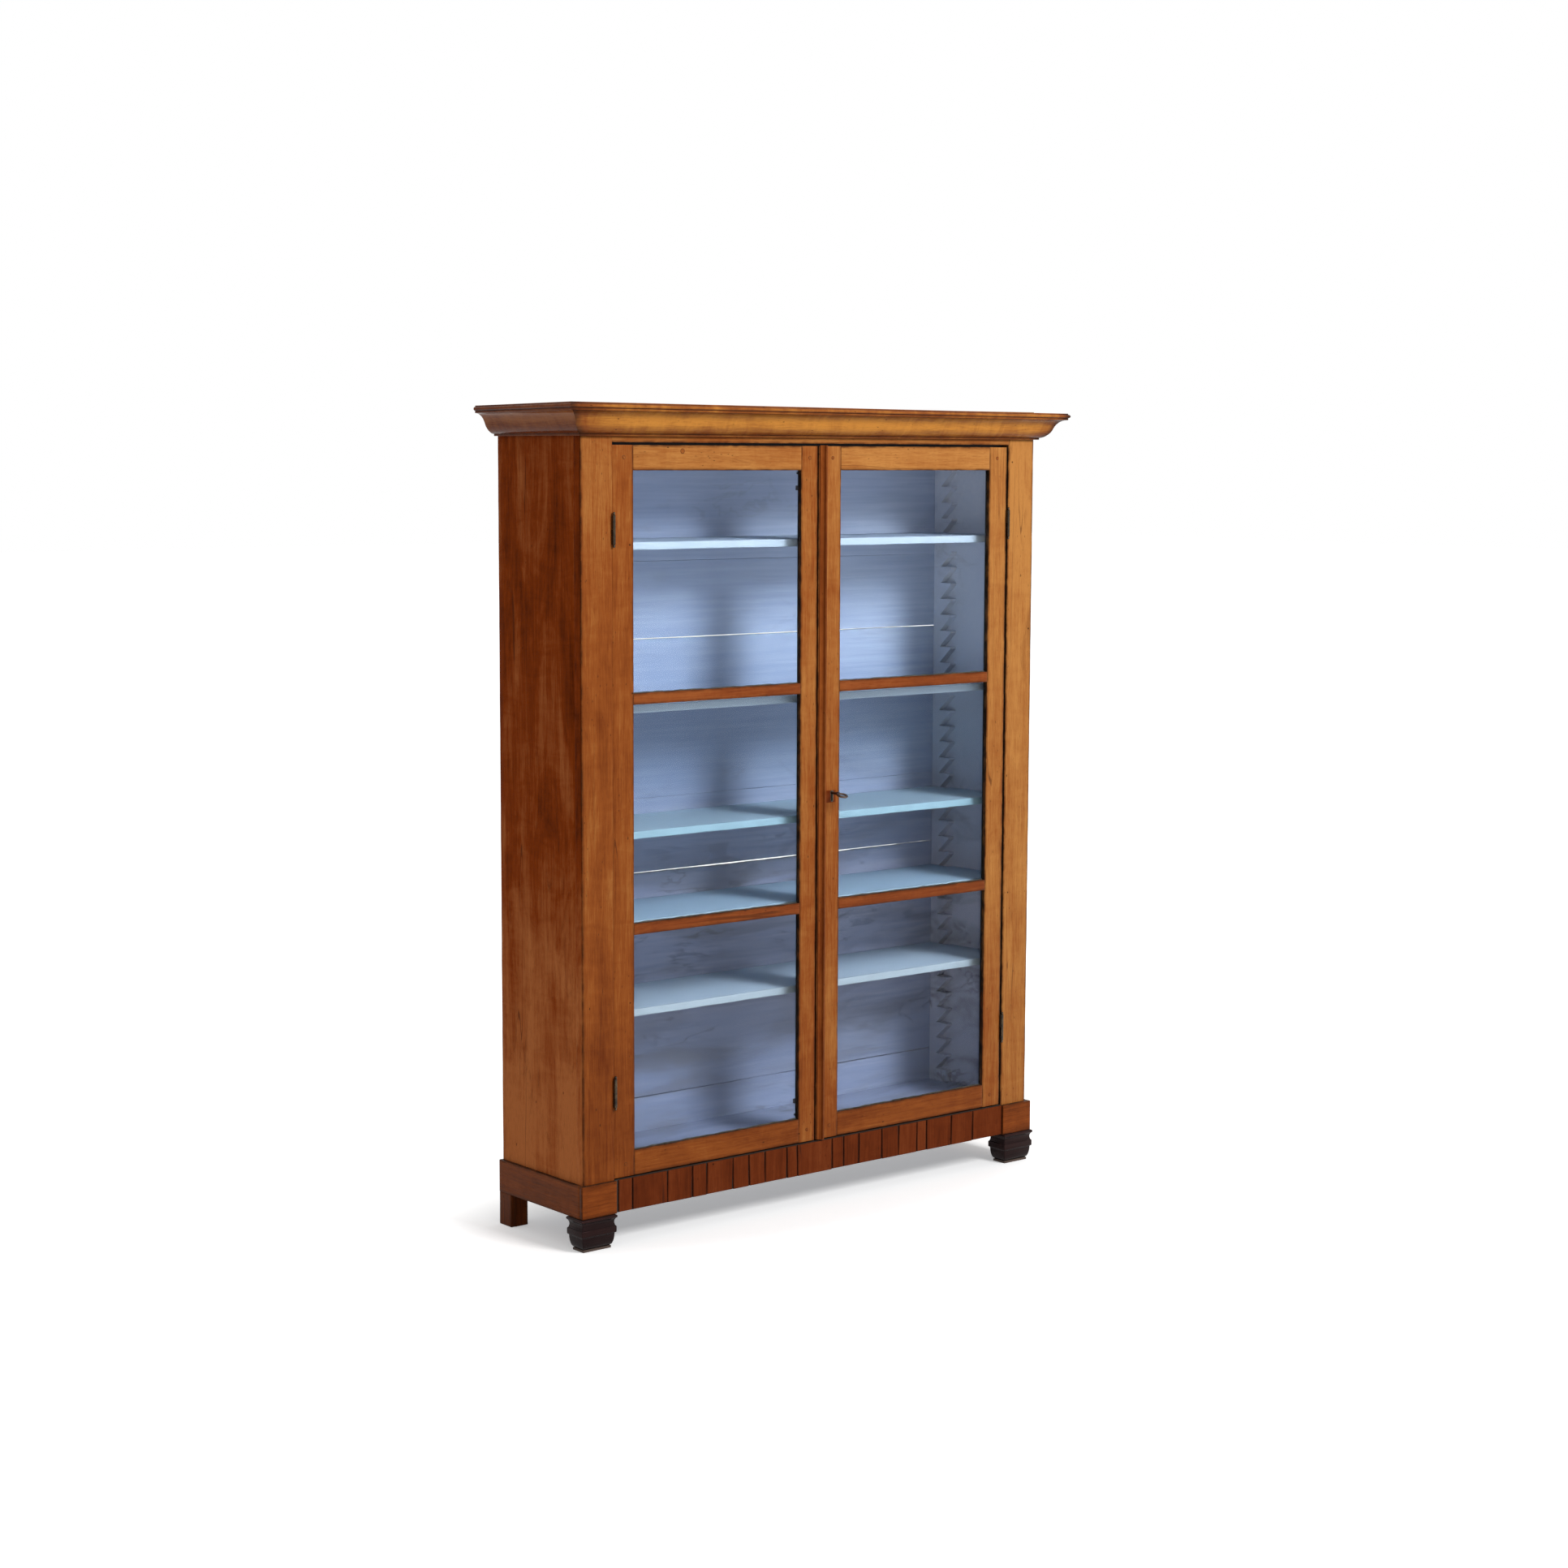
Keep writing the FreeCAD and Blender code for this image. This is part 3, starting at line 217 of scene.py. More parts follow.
@dataclass(frozen=True)
class Corner:
    """A square corner of a member's section.

    Attributes:
        u: first coordinate.
        v: second coordinate.
        ease: share of the member's rounding that this arris gets.
    """

    u: float
    v: float
    ease: float = 1.0


def box_section(u: tuple[float, float], v: tuple[float, float]) -> list[Corner]:
    """A rectangular section, counter-clockwise."""
    return [Corner(u[0], v[0]), Corner(u[1], v[0]), Corner(u[1], v[1]), Corner(u[0], v[1])]


@dataclass
class Member:
    """A length of wood with a square-cornered section and hand-eased arrises.

    The section's corners are rounded by quarter arcs. A point of an arc lies at corner + r * d, where d depends
    on the corner alone, so a radius r that changes along the member gives an arris of uneven wear. The ends are
    rounded in the same way, by rings that shrink along the section's inward normals.

    Attributes:
        axis: the way it runs.
        section: corners, counter-clockwise.
        ends: first and last place along the axis.
        radius: mean rounding of the arrises.
        uneven: how much the rounding varies, as a share.
        end_radius: rounding of the ends.
        support: distance from an arris to where its wear ends.
        spacing: distance between rings.
        tone: the member's shade, in places painted light.
        seed: picks its grain and wear.
        lean: sideways shift of the first section axis, per metre of length.
        arc_steps: chords in the rounding of an arris.
    """

    axis: Axis
    section: Sequence[Corner]
    ends: tuple[float, float]
    radius: float = 1.0 * MM
    uneven: float = 0.5
    end_radius: float = 0.4 * MM
    support: float = 7 * MM
    spacing: float = 14 * MM
    tone: float = 0.5
    seed: int = 0
    lean: float = 0.0
    arc_steps: int = 3

    def outline(self) -> dict[str, np.ndarray]:
        """Section points as arrays.

        Returns:
            base, arc (d above) and inward vectors, wear, and the corner that each point belongs to.
        """
        places = np.array([(corner.u, corner.v) for corner in self.section])
        before = np.roll(places, 1, 0) - places
        after = np.roll(places, -1, 0) - places
        before_length = np.linalg.norm(before, axis=1)
        after_length = np.linalg.norm(after, axis=1)
        before /= before_length[:, None]
        after /= after_length[:, None]
        turns = after[:, 0] * before[:, 1] - after[:, 1] * before[:, 0]
        angles = np.linspace(0, math.pi / 2, self.arc_steps + 1)
        rows: dict[str, list[np.ndarray]] = {"base": [], "arc": [], "inward": [], "wear": [], "corner": []}
        for index, corner in enumerate(self.section):
            to_before, to_after, place = before[index], after[index], places[index]
            if turns[index] < 0:
                points = [(place, 0 * place, -(to_before + to_after), 0.0)]
            else:
                near = min(self.support, 0.4 * before_length[index])
                far = min(self.support, 0.4 * after_length[index])
                points = [(place + near * to_before, 0 * place, to_after, 0.0)]
                for angle in angles:
                    arc = to_before * (1 - math.sin(angle)) + to_after * (1 - math.cos(angle))
                    inward = to_before * math.sin(angle) + to_after * math.cos(angle)
                    points.append((place, corner.ease * arc, inward, 1.0))
                points.append((place + far * to_after, 0 * place, to_before, 0.0))
            for base, arc, inward, wear in points:
                for key, value in zip(rows, (base, arc, inward, wear, index)):
                    rows[key].append(value)
        return {key: np.array(value) for key, value in rows.items()}

    def stations(self) -> tuple[np.ndarray, np.ndarray]:
        """Places of the rings along the axis, and how far each ring is drawn in.

        Returns:
            Both as arrays from the first end to the last.
        """
        low, high = self.ends
        turn = np.linspace(0, math.pi / 2, 3)
        round_along = self.end_radius * (1 - np.cos(turn))
        round_in = self.end_radius * (1 - np.sin(turn))
        count = max(2, int((high - low) / self.spacing))
        near = min(self.support, 0.3 * (high - low))
        inside = np.linspace(low + near, high - near, count)
        along = np.concatenate([low + round_along, inside, high - round_along[::-1]])
        drawn = np.concatenate([round_in, np.zeros(count), round_in[::-1]])
        return along, drawn

    def shell(self) -> Shell:
        """Build the member's surface.

        Returns:
            Its shell, with grain along the axis.
        """
        line = self.outline()
        along, drawn = self.stations()
        swell = np.stack([wobble(along, self.seed * 31 + n) for n in range(len(self.section))], 1)
        radius = self.radius * (1 + self.uneven * swell[:, line["corner"]])
        flat = (
            line["base"][None]
            + radius[:, :, None] * line["arc"][None]
            + drawn[:, None, None] * line["inward"][None]
        )
        middle = sum(self.ends) / 2
        flat[:, :, 0] += (self.lean * (along - middle))[:, None]
        first, second = self.axis.across
        rings = np.empty(flat.shape[:2] + (3,))
        rings[:, :, self.axis.value] = along[:, None]
        rings[:, :, first] = flat[:, :, 0]
        rings[:, :, second] = flat[:, :, 1]
        verts = rings.reshape(-1, 3)
        wear = np.broadcast_to(line["wear"], flat.shape[:2]).copy()
        wear[:2] = 1.0
        wear[-2:] = 1.0
        return Shell(
            verts=verts,
            faces=ring_faces(*flat.shape[:2]),
            grain=grain_of(verts, self.axis, self.seed),
            wear=wear.reshape(-1),
            tone=self.tone,
        )


def grain_of(verts: np.ndarray, axis: Axis, seed: int) -> np.ndarray:
    """Grain coordinates: place along the member, then the two across, moved to a part of the log of its own.

    Args:
        verts: places.
        axis: the way the grain runs.
        seed: picks the part of the log.

    Returns:
        One row for each vertex.
    """
    shift = np.random.default_rng(LOG_SEED + seed).uniform(-LOG_REACH, LOG_REACH, 3)
    return verts[:, [axis.value, *axis.across]] + shift


def carried(axis: Axis, profile: np.ndarray, low: np.ndarray, high: np.ndarray, seed: int,
            spacing: float = 20 * MM, wear: Optional[np.ndarray] = None, tone: float | np.ndarray = 0.5,
            mark: Optional[np.ndarray] = None) -> Shell:
    """A closed profile carried along an axis, each of its points between ends of its own, so that ends can mitre.

    The place of point j at parameter t is low[j] + t * (high[j] - low[j]) along the axis, and the profile across.

    Args:
        axis: the way it runs.
        profile: section points, counter-clockwise.
        low: first end of each point.
        high: last end of each point.
        seed: picks its grain.
        spacing: distance between rings.
        wear: wear of each profile point.
        tone: shade of the length, or of each profile point.
        mark: dirt on each profile point.

    Returns:
        The shell, with grain along the axis.
    """
    steps = np.linspace(0, 1, max(2, int(np.max(high - low) / spacing)))
    rings = np.empty((len(steps), len(profile), 3))
    first, second = axis.across
    rings[:, :, axis.value] = low + steps[:, None] * (high - low)
    rings[:, :, first] = profile[:, 0]
    rings[:, :, second] = profile[:, 1]
    verts = rings.reshape(-1, 3)
    count = len(profile)
    worn = np.zeros(count) if wear is None else wear
    return Shell(
        verts=verts,
        faces=ring_faces(len(steps), count),
        grain=grain_of(verts, axis, seed),
        wear=np.tile(worn, len(steps)),
        tone=np.tile(np.broadcast_to(tone, count), len(steps)),
        mark=None if mark is None else np.tile(mark, len(steps)),
    )


def arc(centre: tuple[float, float], radius: float, start: float, end: float, steps: int = 10) -> np.ndarray:
    """Points on a circular arc, angles in degrees from the first axis.

    Args:
        centre: its middle.
        radius: its radius.
        start: first angle.
        end: last angle.
        steps: number of chords.

    Returns:
        Points, one row each.
    """
    angles = np.radians(np.linspace(start, end, steps + 1))
    return np.stack([centre[0] + radius * np.cos(angles), centre[1] + radius * np.sin(angles)], 1)


def square_turned(profile: np.ndarray, low: np.ndarray, high: np.ndarray, ease: float, seed: int,
                  wear: np.ndarray) -> Shell:
    """A moulding carried round a rectangle, as on a square foot, with eased mitres.

    Point j of the profile, offset o and height h, lies at corner + o * (sx, sy) + ease * (cos a, sin a), where
    sx and sy are the corner's signs and a turns through the corner's quarter circle.

    Args:
        profile: offset and height of each point, from the top down.
        low: lowest X and Y of the block.
        high: highest X and Y of the block.
        ease: rounding of the mitres.
        seed: picks its grain.
        wear: wear of each profile point.

    Returns:
        The closed shell.
    """
    signs = np.array([(1, 1), (-1, 1), (-1, -1), (1, -1)], float)
    turn = np.radians(np.linspace(0, 90, 5))
    angles = (np.radians([0, 90, 180, 270])[:, None] + turn).reshape(-1)
    sign = np.repeat(signs, len(turn), 0)
    corners = np.where(sign > 0, high, low) - sign * ease
    circle = ease * np.stack([np.cos(angles), np.sin(angles)], 1)
    plan = corners[None] + profile[::-1, None, :1] * sign[None] + circle[None]
    height = np.broadcast_to(profile[::-1, None, 1:], plan.shape[:2] + (1,))
    verts = np.concatenate([plan, height], -1).reshape(-1, 3)
    return Shell(
        verts=verts,
        faces=ring_faces(len(profile), len(sign)),
        grain=grain_of(verts, Axis.X, seed),
        wear=np.repeat(wear[::-1], len(sign)),
    )


def dome(centre: Sequence[float], radius: float, height: float, depth: float, seed: int) -> Shell:
    """A peg's head, facing the front: rings of radius r * cos(a) at height h * sin(a), on a short shank.

    Args:
        centre: middle of the head's rim.
        radius: radius of the rim.
        height: how far the head stands out.
        depth: how far the shank goes in.
        seed: picks its grain.

    Returns:
        The closed shell, its rim worn.
    """
    rise = np.radians([0, 25, 50, 75])
    radii = np.concatenate([[radius], radius * np.cos(rise)])
    out = np.concatenate([[-depth], height * np.sin(rise)])
    around = np.linspace(0, math.tau, 20, endpoint=False)
    rings = np.empty((len(radii), len(around), 3))
    rings[:, :, 0] = centre[0] + radii[:, None] * np.cos(around)
    rings[:, :, 1] = centre[1] - out[:, None]
    rings[:, :, 2] = centre[2] + radii[:, None] * np.sin(around)
    verts = rings.reshape(-1, 3)
    wear = np.repeat(np.array([1.0, 1.0, 0.8, 0.0, 0.0]), len(around))
    dirt = np.repeat(np.array([1.0, 1.0, 0.7, 0.0, 0.0]), len(around))
    return Shell(verts, ring_faces(len(radii), len(around)), grain_of(verts, Axis.Y, seed), wear, 0.42, dirt)


def make_piece(name: str, shells: Sequence[Shell], finish: "Finish", body: str,
               replaces: Iterable[str] = (),
               lining: Optional["Finish"] = None) -> bpy.types.Object:
    """Put shells into one mesh, dress it and let it ride on a body.

    Args:
        name: name of the piece.
        shells: its surfaces.
        finish: its finish.
        body: the body it moves with.
        replaces: solids that it stands for.
        lining: second finish, for the faces that are lined.

    Returns:
        The new object.
    """
    faces: list[list[int]] = []
    lined: list[np.ndarray] = []
    start = 0
    for shell in shells:
        if shell.lined is not None:
            lined.append(shell.lined + len(faces))
        faces += shell.numbered(start)
        start += len(shell.verts)
    mesh = bpy.data.meshes.new(name)
    mesh.from_pydata(np.concatenate([shell.verts for shell in shells]).tolist(), [], faces)
    marks = [np.zeros(len(shell.verts)) if shell.mark is None else shell.mark for shell in shells]
    values = {
        "grain": ("FLOAT_VECTOR", "vector", np.concatenate([shell.grain for shell in shells])),
        "wear": ("FLOAT", "value", np.concatenate([shell.wear for shell in shells])),
        "tone": ("FLOAT", "value", np.concatenate([np.broadcast_to(s.tone, len(s.verts)) for s in shells])),
        "mark": ("FLOAT", "value", np.concatenate(marks)),
    }
    for key, (kind, member, data) in values.items():
        layer = mesh.attributes.new(key, kind, "POINT")
        layer.data.foreach_set(member, np.ascontiguousarray(data, np.float32).reshape(-1))
    mesh.shade_smooth()
    mesh.set_sharp_from_angle(angle=SHARP_ANGLE)
    mesh.materials.append(finish.material())
    if lining is not None:
        mesh.materials.append(lining.material())
        numbers = np.zeros(len(faces), np.int32)
        numbers[np.concatenate(lined)] = 1
        mesh.polygons.foreach_set("material_index", numbers)
    piece = bpy.data.objects.new(name, mesh)
    bpy.context.scene.collection.objects.link(piece)
    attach(piece, body)
    if replaces:
        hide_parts(*replaces)
    log.info("%s: %d faces on %s", name, len(faces), body)
    return piece


def dress(finish: "Finish", *nodes: str) -> None:
    """Give solids that stay in view their finish.

    Args:
        finish: the finish.
        *nodes: names of the solids.
    """
    for node in nodes:
        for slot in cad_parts[node].material_slots:
            slot.material = finish.material()
        log.info("%s: dressed with %s", node, finish.name)


# Finishes


class Board:
    """Places and wires the shader nodes of one material."""

    def __init__(self, name: str) -> None:
        """Start an empty material.

        Args:
            name: its name.
        """
        self.made = bpy.data.materials.new(name)
        self.made.use_nodes = True
        self.tree = self.made.node_tree
        self.tree.nodes.clear()
        self.end = self.tree.nodes.new("ShaderNodeOutputMaterial")

    def put(self, socket: bpy.types.NodeSocket, value: object) -> None:
        """Wire a socket, or set its value.

        Args:
            socket: the input.
            value: a socket, a colour or a number.
        """
        if isinstance(value, bpy.types.NodeSocket):
            self.tree.links.new(value, socket)
        elif isinstance(value, tuple) and socket.type == "RGBA":
            socket.default_value = (*value, 1.0)
        else:
            socket.default_value = value

    def add(self, kind: str, **inputs: object) -> bpy.types.Node:
        """Add a node and fill its named inputs, with spaces written as underscores.

        Args:
            kind: node type without its prefix.
            **inputs: values or sockets.

        Returns:
            The node.
        """
        node = self.tree.nodes.new("ShaderNode" + kind)
        for key, value in inputs.items():
            self.put(node.inputs[key.replace("_", " ")], value)
        return node

    def attribute(self, name: str, output: str = "Fac") -> bpy.types.NodeSocket:
        """A value that the mesh carries.

        Args:
            name: the attribute.
            output: which form of it.

        Returns:
            The value.
        """
        node = self.add("Attribute")
        node.attribute_name = name
        return node.outputs[output]

    def place(self) -> bpy.types.NodeSocket:
        """Object coordinates."""
        return self.add("TexCoord").outputs["Object"]

    def scaled(self, vector: bpy.types.NodeSocket, factors: Triple) -> bpy.types.NodeSocket:
        """A vector with each coordinate stretched.

        Args:
            vector: the vector.
            factors: factor of each coordinate.

        Returns:
            The stretched vector.
        """
        node = self.add("VectorMath")
        node.operation = "MULTIPLY"
        self.put(node.inputs[0], vector)
        node.inputs[1].default_value = factors
        return node.outputs["Vector"]

    def noise(self, vector: bpy.types.NodeSocket, stretch: Triple, detail: float = 3.0,
              rough: float = 0.55, bend: float = 0.0) -> bpy.types.NodeSocket:
        """Cloudy value about 0.5, stretched along the axes.

        Args:
            vector: coordinates.
            stretch: cells per metre along each.
            detail: number of finer layers.
            rough: strength of the finer layers.
            bend: distortion.

        Returns:
            The value.
        """
        node = self.add("TexNoise", Vector=self.scaled(vector, stretch), Scale=1.0, Detail=detail)
        node.inputs["Roughness"].default_value = rough
        node.inputs["Distortion"].default_value = bend
        return node.outputs["Fac"]

    def math(self, how: str, first: object, second: object = 0.0, third: object = 0.0) -> bpy.types.NodeSocket:
        """One step of arithmetic.

        Args:
            how: the operation.
            first: first value.
            second: second value.
            third: third value, which only some operations read.

        Returns:
            The result.
        """
        node = self.add("Math")
        node.operation = how
        for socket, value in zip(node.inputs, (first, second, third)):
            self.put(socket, value)
        return node.outputs[0]

    def sum(self, start: float, *terms: tuple[bpy.types.NodeSocket, float]) -> bpy.types.NodeSocket:
        """A start value plus each term's swing about 0.5 times its weight.

        Args:
            start: value when every term is 0.5.
            *terms: value and weight.

        Returns:
            The sum.
        """
        total: object = start - sum(weight for _, weight in terms) * 0.5
        for value, weight in terms:
            total = self.math("MULTIPLY_ADD", value, weight, total)
        return total

    def between(self, value: bpy.types.NodeSocket, low: float, high: float) -> bpy.types.NodeSocket:
        """Smooth step from 0 at low to 1 at high.

        Args:
            value: where to read it.
            low: start of the step.
            high: end of the step.

        Returns:
            The step's value.
        """
        node = self.add("MapRange", Value=value)
        node.interpolation_type = "SMOOTHSTEP"
        node.inputs["From Min"].default_value = low
        node.inputs["From Max"].default_value = high
        return node.outputs["Result"]

    def ramp(self, value: bpy.types.NodeSocket, *stops: tuple[float, Colour]) -> bpy.types.NodeSocket:
        """Colours along a value.

        Args:
            value: where to read.
            *stops: position and colour.

        Returns:
            The colour.
        """
        node = self.add("ValToRGB", Fac=value)
        marks = node.color_ramp.elements
        while len(marks) < len(stops):
            marks.new(1.0)
        for mark, (position, colour) in zip(marks, stops):
            mark.position = position
            mark.color = (*colour, 1.0)
        return node.outputs["Color"]

    def mix(self, factor: object, first: object, second: object, how: str = "MIX") -> bpy.types.NodeSocket:
        """Blend two colours.

        Args:
            factor: share of the second.
            first: colour or socket.
            second: colour or socket.
            how: blend type.

        Returns:
            The colour.
        """
        node = self.add("Mix")
        node.data_type = "RGBA"
        node.blend_type = how
        for index, value in ((0, factor), (6, first), (7, second)):
            self.put(node.inputs[index], value)
        return node.outputs[2]

    def tint(self, colour: object, target: object, amount: object, weight: float = 1.0) -> bpy.types.NodeSocket:
        """A colour blended towards another by an amount times a weight."""
        return self.mix(self.math("MULTIPLY", amount, weight), colour, target)

    def less(self, value: bpy.types.NodeSocket) -> bpy.types.NodeSocket:
        """What a value leaves of 1."""
        return self.math("SUBTRACT", 1.0, value)

    def product(self, *values: bpy.types.NodeSocket) -> bpy.types.NodeSocket:
        """Values multiplied together."""
        return functools.reduce(lambda first, second: self.math("MULTIPLY", first, second), values)

    def contour(self, value: bpy.types.NodeSocket, near: float, far: float) -> bpy.types.NodeSocket:
        """1 where a value is within near of 0.5, fading to 0 at far."""
        return self.less(self.between(self.math("ABSOLUTE", self.math("SUBTRACT", value, 0.5)), near, far))

    def dots(self, vector: bpy.types.NodeSocket, cells: float, share: float, size: float) -> bpy.types.NodeSocket:
        """Scattered round dots: a cell's middle is a dot where the cell's own random value is low.

        Args:
            vector: coordinates.
            cells: cells per metre.
            share: share of cells with a dot.
            size: radius of a dot as a share of a cell.

        Returns:
            1 in a dot and 0 elsewhere.
        """
        node = self.add("TexVoronoi", Vector=vector, Scale=cells)
        near = self.less(self.between(node.outputs["Distance"], size * 0.5, size))
        chance = self.add("SeparateColor", Color=node.outputs["Color"]).outputs[0]
        return self.product(near, self.math("LESS_THAN", chance, share))

    def bump(self, height: bpy.types.NodeSocket, strength: float, distance: float) -> bpy.types.NodeSocket:
        """Surface relief from a height."""
        node = self.add("Bump", Height=height, Strength=strength, Distance=distance)
        return node.outputs["Normal"]

    def principled(self, **inputs: object) -> bpy.types.Material:
        """Close the material with a Principled shader.

        Args:
            **inputs: values or sockets.

        Returns:
            The material.
        """
        shader = self.add("BsdfPrincipled", **inputs)
        self.tree.links.new(shader.outputs[0], self.end.inputs["Surface"])
        return self.made


@dataclass(frozen=True)
class Finish:
    """A surface finish; each one makes its material once."""

    name: str

    def material(self) -> bpy.types.Material:
        """Make the material when it is first asked for.

        Returns:
            The finish's material.
        """
        if self.name not in MADE:
            MADE[self.name] = self.make()
        return MADE[self.name]

    def make(self) -> bpy.types.Material:
        """Build the material, which each kind of finish does in its own way."""
        raise NotImplementedError


@dataclass(frozen=True)
class Wood(Finish):
    """Polished old wood: streaks, lines, pores and splits along the grain, soft cross mottle and small dents.

    Attributes:
        dark: colour of the darkest streaks.
        mid: main colour.
        light: colour of the lightest streaks.
        arris: colour of worn edges.
        streak: weight of the streaks.
        mottle: weight of the mottle across the grain.
        fine: weight of the fine lines.
        smudge: darkness of the smudges.
        cloud: weight of the broad clouds.
        height_light: painted light: how much lighter it gets with each metre of height, as the lamp's light falls off
            lower down.
        dents: share of cells with a dark dent.
        flecks: darkness of the short flecks along the grain.
        roughness: mean roughness.
        gloss: strength of the polish's reflections.
        sheen_tint: colour of the polish's reflections, seen straight on.
        dent: colour of the dents.
        fleck: colour of the flecks.
        dirt: colour of dirt in the joints, and of painted shade in the gaps round the doors, on sight edges and in
            quirks.
        even_light_height: height at which that painted light neither lightens nor darkens.
    """

    dark: Colour = (0.12, 0.018, 0.003)
    mid: Colour = (0.3, 0.078, 0.015)
    light: Colour = (0.52, 0.22, 0.056)
    arris: Colour = (0.075, 0.02, 0.007)
    streak: float = 0.5
    mottle: float = 0.22
    fine: float = 0.45
    smudge: float = 0.45
    cloud: float = 0.75
    height_light: float = 0.1
    dents: float = 0.05
    flecks: float = 0.6
    roughness: float = 0.38
    gloss: float = 0.09
    sheen_tint: Colour = (1.0, 0.62, 0.3)
    dent: Colour = (0.02, 0.008, 0.004)
    fleck: Colour = (0.03, 0.011, 0.006)
    dirt: Colour = (0.018, 0.015, 0.011)
    even_light_height: float = 0.9

    def make(self) -> bpy.types.Material:
        """Wire the finish's nodes.

        Returns:
            The material.
        """
        b = Board(self.name)
        grain = b.attribute("grain", "Vector")
        wear = b.attribute("wear")
        tone = b.attribute("tone")
        streak = b.noise(grain, (3.2, 64, 64), 6, 0.7, 0.9)
        line = b.noise(grain, (16, 420, 420), 3, 0.65)
        mottle = b.noise(grain, (24, 9, 9), 4, 0.6, 1.5)
        cloud = b.noise(grain, (2.6, 9, 9), 6, 0.65, 0.8)
        pore = b.between(b.noise(grain, (55, 1500, 1500), 1), 0.58, 0.7)
        shade = b.sum(0.5, (streak, self.streak), (line, self.fine), (mottle, self.mottle),
                      (cloud, self.cloud), (tone, 1.0))
        # Painted light: lighter higher up and darker lower down, as the lamp's light falls off.
        height = b.add("SeparateXYZ", Vector=b.place()).outputs["Z"]
        shade = b.math("MULTIPLY_ADD", b.math("SUBTRACT", height, self.even_light_height), self.height_light, shade)
        colour = b.ramp(shade, (0.08, self.dark), (0.45, self.mid), (0.85, self.light))
        colour = b.tint(colour, self.dark, pore, 0.32)
        smudge = b.between(b.noise(grain, (7, 34, 34), 5, 0.7, 0.8), 0.55, 0.78)
        colour = b.tint(colour, self.dark, smudge, self.smudge)
        rubbed = b.between(b.noise(grain, (30, 60, 60), 3), 0.36, 0.62)
        edge = b.product(b.math("POWER", wear, 1.4), b.math("MULTIPLY_ADD", rubbed, 0.5, 0.4))
        colour = b.mix(edge, colour, self.arris)
        drawn_out = b.scaled(grain, (0.4, 1, 1))
        dents = b.math("MAXIMUM", b.dots(grain, 26, self.dents * 2.4, 0.08),
                       b.dots(drawn_out, 70, self.dents * 2.5, 0.11))
        colour = b.tint(colour, self.dent, dents, 0.8)
        patch = b.between(b.noise(grain, (9, 26, 26), 3), 0.44, 0.64)
        fleck = b.product(b.dots(drawn_out, 150, 0.4, 0.2), patch)
        colour = b.tint(colour, self.fleck, fleck, self.flecks)
        split = b.contour(b.noise(grain, (0.7, 26, 26), 2, 0.5, 0.3), 0.002, 0.006)
        split = b.product(split, b.between(b.noise(grain, (1.7, 14, 14), 1), 0.55, 0.61))
        colour = b.tint(colour, self.arris, split, 0.6)
        # Marked faces take dirt in the joints and painted shade in the gaps, on sight edges and in the cornice's
        # quirks.
        dirt = b.product(b.attribute("mark"), b.math("MULTIPLY_ADD", rubbed, 0.25, 0.7))
        colour = b.mix(dirt, colour, self.dirt)
        relief = b.sum(0.5, (line, 0.6), (pore, -0.7))
        relief = b.math("MULTIPLY_ADD", dents, -1.5, relief)
        return b.principled(
            Base_Color=colour,
            Roughness=b.sum(self.roughness, (streak, 0.12), (cloud, 0.14), (pore, 0.2)),
            Specular_IOR_Level=self.gloss,
            Specular_Tint=self.sheen_tint,
            Normal=b.bump(relief, 0.22, 0.25 * MM),
        )


# Painted shade of the blue paint at each height: darker below the upper panes, and near black at the top where the
# back shows through the gap over the doors.
PAINTED_SHADE_TOP = 2.0
PAINTED_SHADE_BY_HEIGHT: tuple[tuple[float, Colour], ...] = (
    (0.3, (0.475, 0.49, 0.56)), (0.6, (0.61, 0.58, 0.63)), (1.0, (0.43, 0.5, 0.58)),
    (1.12, (0.48, 0.54, 0.62)), (1.22, (0.63, 0.68, 0.73)), (1.35, (0.7, 0.75, 0.8)),
    (1.6, (1.0, 1.0, 1.0)), (1.668, (0.9, 0.9, 0.9)), (1.679, (0.06, 0.06, 0.06)),
)


